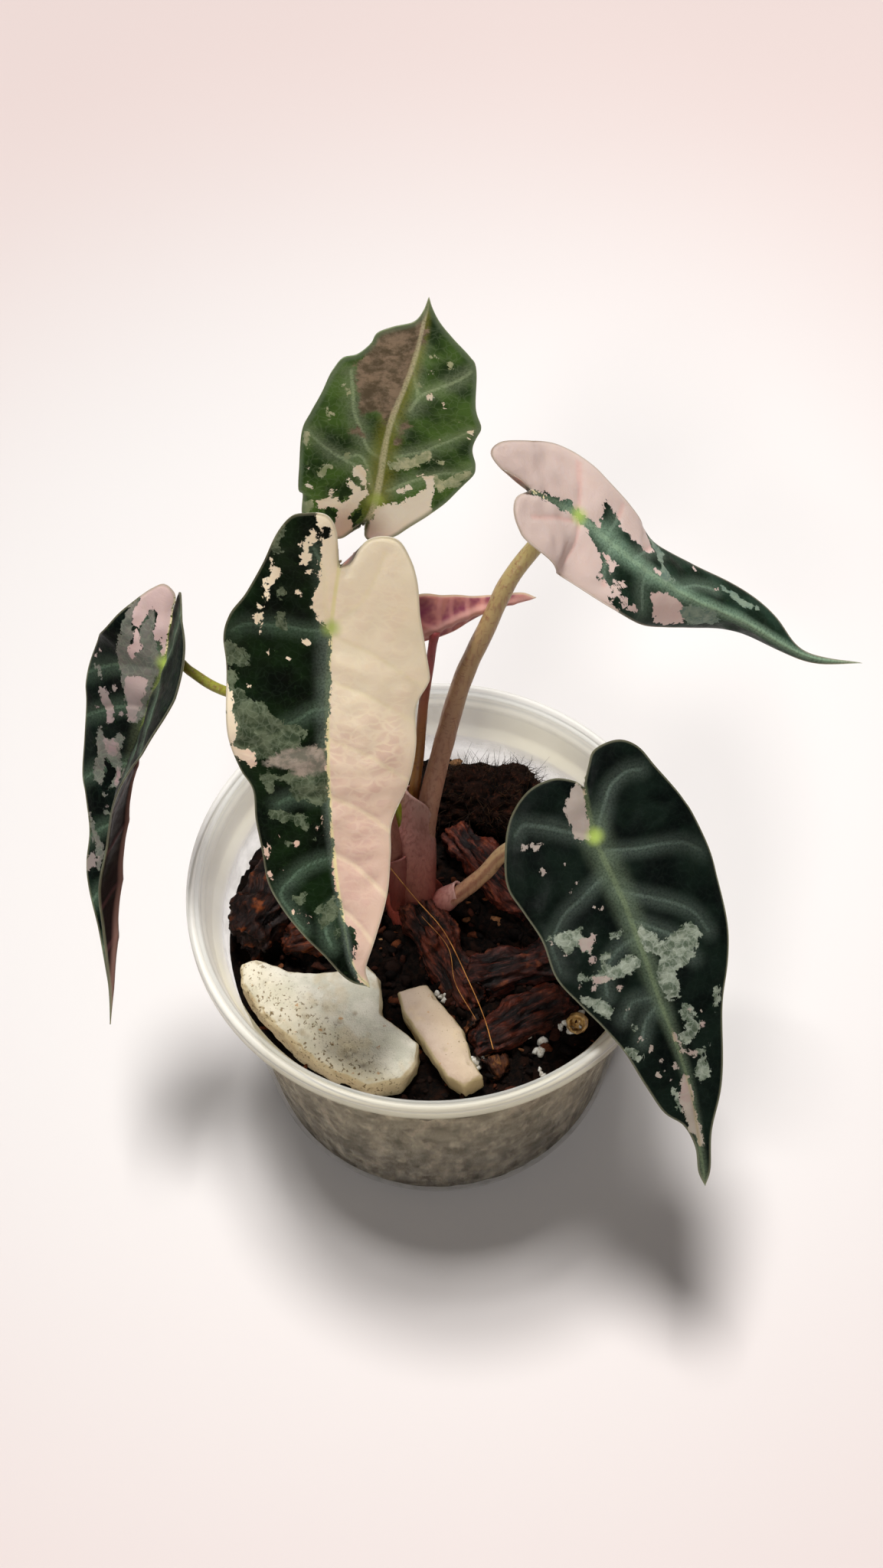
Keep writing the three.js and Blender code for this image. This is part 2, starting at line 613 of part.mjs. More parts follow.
// The cup: one closed profile, with a rolled rim and the ledge below it that cups stack on
function cupSolid() {
  const profile = [
    [0, 0], [BASE_RADIUS - 1.5, 0], [BASE_RADIUS, 1.5], [WAIST_RADIUS, LEDGE_HEIGHT - 2],
    [LEDGE_RADIUS, LEDGE_HEIGHT], [LEDGE_RADIUS + 1, CUP_HEIGHT - 5.8], [RIM_RADIUS - 0.4, CUP_HEIGHT - 5.2],
    [RIM_RADIUS, CUP_HEIGHT - 3.5], [RIM_RADIUS, CUP_HEIGHT - 1], [RIM_RADIUS - 0.7, CUP_HEIGHT],
    [RIM_RADIUS - 2, CUP_HEIGHT], [RIM_RADIUS - 2.6, CUP_HEIGHT - 1], [LEDGE_RADIUS, CUP_HEIGHT - 4.8],
    [LEDGE_RADIUS - CUP_WALL, LEDGE_HEIGHT + 1], [WAIST_RADIUS - CUP_WALL, LEDGE_HEIGHT - 1.2],
    [BASE_RADIUS - CUP_WALL, 2.2], [BASE_RADIUS - 2, CUP_WALL], [0, CUP_WALL],
  ];
  const geometry = new THREE.LatheGeometry(profile.map(([r, z]) => new THREE.Vector2(r, z)), CUP_FACETS);
  return solidOf(geometry.rotateX(Math.PI / 2));
}

// The radius of the soil at a height, just clear of the cup's wall and of its facets
function soilRadius(height) {
  const share = (height - 2.2) / (LEDGE_HEIGHT - 3.4);
  const wall = BASE_RADIUS - CUP_WALL + (WAIST_RADIUS - BASE_RADIUS) * share;
  return wall * Math.cos(Math.PI / CUP_FACETS) - GAP;
}

function soilHeight(x, y) {
  const reach = ((x - CROWN.x) ** 2 + (y - CROWN.y) ** 2) / MOUND_RADIUS ** 2;
  const [wide, deep, fine] = LUMP_LENGTHS.map((wavelength) => (2 * Math.PI) / wavelength);
  const lumps = Math.sin(wide * x + 1) * Math.cos(deep * y - 1) + 0.6 * Math.sin(fine * (x + y / 2));
  return SOIL_LEVEL + MOUND_HEIGHT * Math.exp(-reach) + LUMP_HEIGHT * lumps;
}

function soilBlock() {
  const bottom = CUP_WALL + GAP;
  const rings = [];
  const ring = (radius, heightAt) =>
    Array.from({ length: SOIL_SECTORS }, (_, j) => {
      const angle = (2 * Math.PI * j) / SOIL_SECTORS;
      const [x, y] = [radius * Math.cos(angle), radius * Math.sin(angle)];
      return new THREE.Vector3(x, y, heightAt(x, y));
    });
  rings.push(ring(BASE_RADIUS - 2.6, () => bottom));
  rings.push(ring(soilRadius(2.5), () => 3));
  rings.push(ring(soilRadius(SOIL_LEVEL - 2), () => SOIL_LEVEL - 3));
  for (let i = SOIL_RINGS; i > 0; i--) {
    rings.push(ring((soilRadius(SOIL_LEVEL) * i) / SOIL_RINGS, soilHeight));
  }
  return solidOf(loftGeometry(rings));
}

// White perlite grains, their lower halves sunk in the soil
function grainSolids() {
  const random = seeded(29);
  const [least, most] = GRAINS.radius;
  return GRAINS.clusters.flatMap(([x, y, count, spread]) =>
    Array.from({ length: count }, () => {
      const angle = 2 * Math.PI * random();
      const reach = spread * Math.sqrt(random());
      const [gx, gy] = [x + reach * Math.cos(angle), y + reach * Math.sin(angle)];
      const radius = least + (most - least) * random();
      const grain = new THREE.OctahedronGeometry(radius, 0).rotateX(3 * random()).rotateY(3 * random());
      return solidOf(grain.translate(gx, gy, soilHeight(gx, gy) + GRAINS.rise * radius));
    }),
  );
}

// Pieces that lie on the soil: each later one is cut clear of those that lie there already
function settledPieces() {
  const grown = [];
  const pieces = {};
  const settle = (name, make) => {
    const clear = grown.reduce((solid, other) => solid.subtract(other), make());
    pieces[name] = largestBody(clear);
    grown.push(make(GAP));
  };
  settle("crown", crownSolid);
  for (const [name, stone] of Object.entries(STONES)) settle(name, (grow) => stoneSolid(stone, grow));
  settle("prill", prillSolid);
  for (const [name, chip] of Object.entries(CHIPS)) settle(name, (grow) => chipSolid(chip, grow));
  return { pieces, grown };
}

function soilSolid(grown) {
  const grains = grainSolids().reduce((solid, grain) => solid.add(grain), soilBlock());
  return largestBody(grown.reduce((solid, piece) => solid.subtract(piece), grains));
}

// Materials
const finish = (color, roughness, more = {}) =>
  new THREE.MeshStandardMaterial({ color, roughness, metalness: 0, ...more });

const MATERIALS = {
  cup: () => finish("#d9dad2", 0.35, { transparent: true, opacity: 0.6 }),
  soil: () => finish("#241812", 0.95),
  crown: () => finish("#b07a78", 0.6),
  prill: () => finish("#c9a263", 0.5),
  stone: (color) => finish(color, 0.9),
  chip: (color) => finish(color, 0.85),
  stalk: () => finish("#a9785f", 0.5),
  blade: () => finish("#1d3326", 0.4),
};

const plant = new THREE.Group();

function place(name, solid, material) {
  const geometry = geometryOf(solid);
  geometry.computeVertexNormals();
  const mesh = new THREE.Mesh(geometry, material);
  mesh.name = name;
  plant.add(mesh);
}

const { pieces, grown } = settledPieces();
place("cup", cupSolid(), MATERIALS.cup());
place("soil", soilSolid(grown), MATERIALS.soil());
place("crown", pieces.crown, MATERIALS.crown());
place("prill", pieces.prill, MATERIALS.prill());
for (const [name, { color }] of Object.entries(STONES)) place(name, pieces[name], MATERIALS.stone(color));
for (const [name, { color }] of Object.entries(CHIPS)) place(name, pieces[name], MATERIALS.chip(color));
for (const [name, leaf] of Object.entries(LEAVES)) {
  place("stalk_" + name, stalkSolid(leaf), MATERIALS.stalk());
  place("blade_" + name, solidOf(bladeGeometry(leaf)), MATERIALS.blade());
}

export default plant;
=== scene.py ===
"""Looks of a young foliage plant with six arrow-shaped leaves, in a see-through cup of soil, bark and pumice.
Tables are in millimetres, as in the part's source, and pieces are made in metres: +Z is up, +Y is back and
the origin is the centre of the cup's flat underside."""

import math

import bmesh
import bpy
import numpy as np
from mathutils import Matrix, Vector


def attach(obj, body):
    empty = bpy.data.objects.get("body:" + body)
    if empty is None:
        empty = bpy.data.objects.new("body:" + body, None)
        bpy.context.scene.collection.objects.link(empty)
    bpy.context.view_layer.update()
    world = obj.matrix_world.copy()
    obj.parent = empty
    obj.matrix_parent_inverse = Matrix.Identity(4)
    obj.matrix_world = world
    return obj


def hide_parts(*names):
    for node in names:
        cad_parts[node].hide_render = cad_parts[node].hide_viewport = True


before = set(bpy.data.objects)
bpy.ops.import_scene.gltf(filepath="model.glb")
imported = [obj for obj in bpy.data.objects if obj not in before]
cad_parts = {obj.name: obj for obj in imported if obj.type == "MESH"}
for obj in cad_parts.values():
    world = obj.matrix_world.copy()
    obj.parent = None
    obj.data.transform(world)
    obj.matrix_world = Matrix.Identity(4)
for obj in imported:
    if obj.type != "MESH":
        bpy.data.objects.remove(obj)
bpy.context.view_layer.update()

MM = 0.001
PORT = 1
STARBOARD = -1

# The camera: the photo's size and focal length in pixels, and the view down onto the plant
PHOTO_WIDTH = 1153
PHOTO_HEIGHT = 2048
FOCAL_PIXELS = 2600
VIEW_ELEVATION = math.radians(56.63)
VIEW_ROLL = math.radians(-1.67)
VIEW_TARGET = np.array([2.6, 0, 121.5])
VIEW_DISTANCE = 434.8
SENSOR_WIDTH = 36

# The floor in metres: how far it goes, and its gap below the cup
FLOOR_REACH = 12
FLOOR_GAP = 0.0002

# The cup
CUP_HEIGHT = 80
RIM_RADIUS = 58.5
LEDGE_RADIUS = 54.6
LEDGE_HEIGHT = 68
WAIST_RADIUS = 52.3
BASE_RADIUS = 46
CUP_WALL = 1
CUP_SIDES = 144

# The soil and what lies on it
SOIL_FOOT = 1.8
SOIL_LEVEL = 57.5
SOIL_SIDES = 220
SOIL_RINGS = 44
SOIL_TOP_RINGS = 88
MOUND_HEIGHT = 2
MOUND_RADIUS = 17
LUMP_HEIGHT = 0.9
LUMP_LENGTHS = [20, 23, 9]
CRUMBS = 1300
CRUMB_REACH = 49.2
PIT_REACH = 9
HAIRS = 1500
HAIR_LENGTHS = [1, 3.6]
HAIR_RADIUS = 0.11

# How fine the meshes of the things on the soil are
BARK_GRID = 0.6
STONE_GRID = 0.5
COIR_GRID = 0.6
PRILL_GRID = 0.16

# The blades
BLADE_THICKNESS = 0.7
EDGE_THICKNESS = 0.3
BLADE_ROWS = 190
HALF_BLADE_COLUMNS = 44
CURL_WIDTH = 20
WAVE_LAG = 1.9
PUCKER = 0.3
RIB_DEPTHS = [0.35, 0.55]
VEIN_DEPTH = 0.2
VEIN_WIDTH = 0.8
PATH_STEPS = 60

# The stalks, and the crown with its sheaths
STALK_APPROACH = 4
STALK_GAP = 0.5
STALK_STEPS = 90
STALK_SIDES = 22
STALK_SQUASH = 0.94
STALK_FLARE = 0.25
CROWN = [-4.3, 6.5, 58]
STEM_PROFILE = [[0.1, 0, -16], [4.5, 0, -15], [7, 0, -9], [8, 0, -3], [7.4, 0, 2], [5, 0, 5], [0.1, 0, 6]]
STEM_STEPS = 40
SHEATH_WALL = 0.25
SHEATH_STEPS = 56
SHEATH_SIDES = 36
SHEATH_LINING = 8

# How far light spreads inside a leaf for red, green and blue, and in a stalk
LEAF_SCATTER = [1.2, 1.1, 0.8]
STALK_SCATTER = 0.002

# Fine streaks along stalks and sheaths, per metre
STREAKS = 1400

# Each leaf, as in the part's source. spine: points of the midrib, from the notch between the lobes, through
# the one where the stalk meets the blade, to the tip. face: the way the upper face looks, at the stalk and at
# the tip. fold, curl and outline are of one half, and wave is the margin's height, wavelength and phase.
# stalk: its route from the crown, three radii, the length in the sheath, and the way it meets the blade.
LEAVES = {
    "top": {
        "spine": [
            [-12.4, 38, 163], [-9.3, 39.1, 171], [-5.9, 40.7, 190], [-0.4, 38.9, 210], [2.9, 39.3, 226],
        ],
        "face": [[0, -0.9, 0.4], [0, -0.97, 0.2]],
        "wave": [0.9, 17, 0.5],
        "port": {
            "fold": [8, 10, 10, 8],
            "curl": [-5, -20, -10, 0],
            "outline": [
                [0, -6.9], [1.7, -9.7], [3.9, -12.9], [8.7, -12.9], [13.6, -8.6], [16.2, -0.4], [16.9, 8.7],
                [17.1, 16.4], [16.1, 20.8], [15, 26.3], [14.7, 34.4], [13.7, 39.2], [11.1, 40.9],
                [9.1, 44.1], [8.3, 47.1], [5.5, 49], [1.9, 50.4], [0.5, 53], [0, 56.6],
            ],
        },
        "starboard": {
            "fold": [8, 10, 10, 8],
            "curl": [-5, -15, -10, 0],
            "outline": [
                [0, -6.9], [1, -10.6], [3.5, -10.7], [6.1, -7.9], [8.3, -4], [11.5, -0.2], [15.1, 3.8],
                [18.6, 9.9], [18.8, 14.2], [17.4, 19.2], [17.4, 27.5], [14.4, 34], [11.9, 42.6],
                [10.1, 45.1], [6.2, 48.3], [3.2, 51.1], [1.2, 54], [0, 56.6],
            ],
        },
        "stalk": {
            "route": [
                [-7.5, 10.5, 60], [-8.2, 18.5, 76], [-9, 27, 100], [-10, 35, 128], [-10.3, 41.5, 152],
                [-10, 44.5, 163],
            ],
            "radii": [2.4, 1.9, 1.3],
            "sheath": 22,
            "arrival": None,
        },
    },
    "front": {
        "spine": [
            [-15.7, 15, 183], [-18.8, 10.1, 165], [-20.9, -1.1, 143], [-21.1, -14.5, 119],
            [-18.4, -30.5, 100], [-14.5, -35, 94],
        ],
        "face": [[0, -0.5, 0.85], [0, -0.6, 0.8]],
        "wave": [0.7, 24, 0],
        "port": {
            "fold": [6, 6, 10, 15],
            "curl": [-15, -25, -25, 0],
            "outline": [
                [0, -15.2], [2.1, -16.8], [3.6, -21.1], [5.8, -23.8], [9.5, -24.7], [12.3, -22.8],
                [15.9, -15.7], [17.7, -5.8], [19.6, 2.9], [20.9, 9.6], [20.5, 12.5], [18.4, 18.3],
                [18.7, 27.5], [17, 37.3], [13.1, 46.4], [12.3, 54], [10.5, 63.8], [6.7, 73.1], [2.2, 81.5],
                [0, 86],
            ],
        },
        "starboard": {
            "fold": [10, 14, 14, 15],
            "curl": [-15, -25, -25, 0],
            "outline": [
                [0, -15.2], [0.6, -18.2], [1.4, -23.1], [2.7, -26], [4.6, -27.2], [7.7, -26.8],
                [10.7, -25.4], [13.3, -20.2], [15.3, -11.9], [17.8, -5.4], [20.8, -0.8], [21.9, 4.3],
                [21.2, 11.4], [21, 24.2], [18.8, 32.4], [16.2, 37.2], [16, 43.5], [15.3, 50.6],
                [14.9, 57.8], [12.8, 63.4], [9.1, 70.1], [5.4, 75.8], [2.6, 81.4], [0, 86],
            ],
        },
        "stalk": {
            "route": [
                [-7.6, 4.8, 60], [-8.7, 8.8, 74], [-10, 12, 86], [-13, 16.5, 110], [-16.8, 19, 138],
                [-18.6, 16.8, 156],
            ],
            "radii": [2.8, 2.2, 1.6],
            "sheath": 16,
            "arrival": None,
        },
    },
    "left": {
        "spine": [
            [-55.5, 37.8, 138], [-58.6, 30.3, 128], [-64.5, 24.5, 114], [-70.3, 15.3, 97],
            [-75.1, -1.3, 76], [-78, -24, 58],
        ],
        "face": [[-0.25, -0.5, 0.8], [-0.35, -0.5, 0.7]],
        "wave": [0.6, 26, 1],
        "port": {
            "fold": [55, 68, 82, 95, 108, 102],
            "curl": [-10, -10, -10, -10, 0],
            "outline": [
                [0, -12.3], [0.9, -16.1], [3.3, -17.7], [6, -16], [9.2, -12.7], [13.6, -7.8], [17, -0.5],
                [18.5, 5.7], [18.7, 12.9], [16.2, 20.1], [14.5, 27.4], [12.9, 35.1], [10.8, 39.9],
                [8.6, 47.4], [8.5, 55.3], [7.3, 60.9], [4.2, 69.7], [1.8, 79.7], [0.8, 84.8], [0, 92.9],
            ],
        },
        "starboard": {
            "fold": [4, 4, 8, 12, 20, 10],
            "curl": [-10, -20, -20, -10, 0],
            "outline": [
                [0, -12.3], [0.7, -16.1], [3.3, -17.7], [6, -16], [9.2, -12.7], [13.6, -7.8], [17, -0.5],
                [18.5, 5.7], [18.7, 12.9], [16.2, 20.1], [14.5, 27.4], [12.9, 35.1], [10.8, 39.9],
                [8.6, 47.4], [8.5, 55.3], [7.3, 60.9], [4.2, 69.7], [1.8, 79.7], [0.8, 84.8], [0, 92.9],
            ],
        },
        "stalk": {
            "route": [
                [-6.6, 8.2, 60], [-6.9, 12.2, 74], [-8.3, 16.5, 86], [-16, 22.5, 101], [-30, 27.5, 113],
                [-45.6, 27.6, 120.3], [-53, 30.4, 124.2],
            ],
            "radii": [2.1, 1.6, 1.1],
            "sheath": 30,
            "arrival": None,
        },
    },
    "right": {
        "spine": [
            [22.3, 36.7, 175], [33, 37.9, 165], [45.3, 32.2, 156], [57.2, 29.6, 147], [69.6, 27.9, 140],
            [83.7, 23.3, 133], [96.2, 22.4, 131],
        ],
        "face": [[0.1, -0.25, 0.95], [0.2, -0.4, 0.9]],
        "wave": [0.4, 30, 0],
        "port": {
            "fold": [0, -26, -20, -14, -10],
            "curl": [-8, -12, -12, 0],
            "outline": [
                [0, -14.3], [1.3, -17.8], [1.6, -22.7], [3.7, -25.9], [7.1, -23.8], [10.2, -18],
                [13.9, -8.6], [14.1, -3.8], [11.9, 2.5], [11.9, 8.2], [12.7, 16.3], [11.5, 21.4],
                [11.4, 27.3], [10.8, 33.5], [9.9, 40.2], [8.2, 46.4], [5.7, 52.9], [1.6, 59.5], [0.7, 66.8],
                [0, 75],
            ],
        },
        "starboard": {
            "fold": [0, -4, -70, -90, -20],
            "curl": [-8, -20, -20, 0],
            "outline": [
                [0, -14.3], [2.6, -17.6], [5.4, -18.3], [8.4, -17], [11.5, -13.3], [13.4, -7], [13.8, -0.2],
                [12.5, 10], [11.3, 18], [10.3, 25], [9.5, 32], [9, 39.7], [7.6, 46.3], [5.7, 52.9],
                [2.6, 59.5], [1, 66.8], [0, 75],
            ],
        },
        "stalk": {
            "route": [
                [-4.3, 5.2, 60], [-3.4, 8.5, 70], [-1, 17, 84], [2.9, 23.5, 100], [8, 30, 118.5],
                [14, 34.5, 133], [18.6, 38.6, 143], [24.2, 42.1, 150], [29, 42, 157.5],
            ],
            "radii": [4.6, 2.8, 1.8],
            "sheath": 23,
            "arrival": None,
        },
    },
    "low": {
        "spine": [
            [33, 3.4, 122], [35.9, -8.6, 112], [42.1, -20.7, 103], [49.5, -38.5, 90], [55.8, -52.8, 76],
            [59.1, -70.2, 61],
        ],
        "face": [[0.1, -0.5, 0.85], [0.1, -0.5, 0.85]],
        "wave": [0.7, 30, 0.8],
        "port": {
            "fold": [8, 8, 10, 15],
            "curl": [-20, -25, -20, 0],
            "outline": [
                [0, -11.1], [1.8, -15.5], [3.8, -18.7], [8.8, -19.8], [12.7, -18.1], [15.9, -13.8],
                [21.4, -3.8], [23.2, 11.4], [22.6, 18.9], [21, 27.7], [18.2, 35.2], [12.4, 47.1],
                [7.1, 61.8], [3.3, 71], [1.8, 79.8], [0, 83.8],
            ],
        },
        "starboard": {
            "fold": [8, 8, 10, 15],
            "curl": [-20, -25, -20, 0],
            "outline": [
                [0, -11.1], [1.9, -12.9], [6.5, -14.4], [12.1, -12.9], [17.2, -7.9], [20.6, -1.2],
                [22.1, 3.1], [21.2, 8], [20.1, 17.5], [20.2, 26.4], [17.1, 33.9], [13.9, 40.5],
                [11.6, 46.7], [9.8, 56.1], [7.2, 64.4], [3, 69], [1, 74.6], [1.1, 80.1], [0, 83.8],
            ],
        },
        "stalk": {
            "route": [
                [-1.2, 4.6, 59], [6, 3.4, 68], [12.2, 3.5, 77], [17, 4.3, 85.2], [26.5, 2.2, 98.5],
                [33, -2.8, 105.5],
            ],
            "radii": [2.8, 2.1, 1.6],
            "sheath": 12,
            "arrival": None,
        },
    },
    "back": {
        "spine": [
            [-1.8, 29.1, 137], [2.3, 29.9, 138], [7.6, 33.6, 137], [13.7, 38, 134.5], [25.3, 44.4, 130],
        ],
        "face": [[-0.1, 0.9, -0.35], [-0.1, 0.9, -0.3]],
        "wave": [0.4, 16, 0],
        "port": {
            "fold": [48, 24, 42, 50],
            "curl": [0, 0, 0, 0],
            "outline": [
                [0, -4], [1, -7], [3.5, -8.5], [6.5, -7.5], [8.8, -4], [9.3, -0.8], [6.7, 3.5], [4.9, 8],
                [3.5, 11.9], [2.5, 18.3], [1.8, 24.7], [0, 28.5],
            ],
        },
        "starboard": {
            "fold": [6, 28, 32, 15],
            "curl": [-10, -10, -10, 0],
            "outline": None,
        },
        "stalk": {
            "route": [
                [-4.6, 9.6, 60], [-6, 15.5, 78], [-3.7, 20.5, 90], [-2.2, 24.8, 101], [-0.9, 26.2, 116],
                [0.6, 26.6, 128],
            ],
            "radii": [1.8, 1.4, 1],
            "sheath": 34,
            "arrival": [0.2, 0.5, 0.85],
        },
    },
}

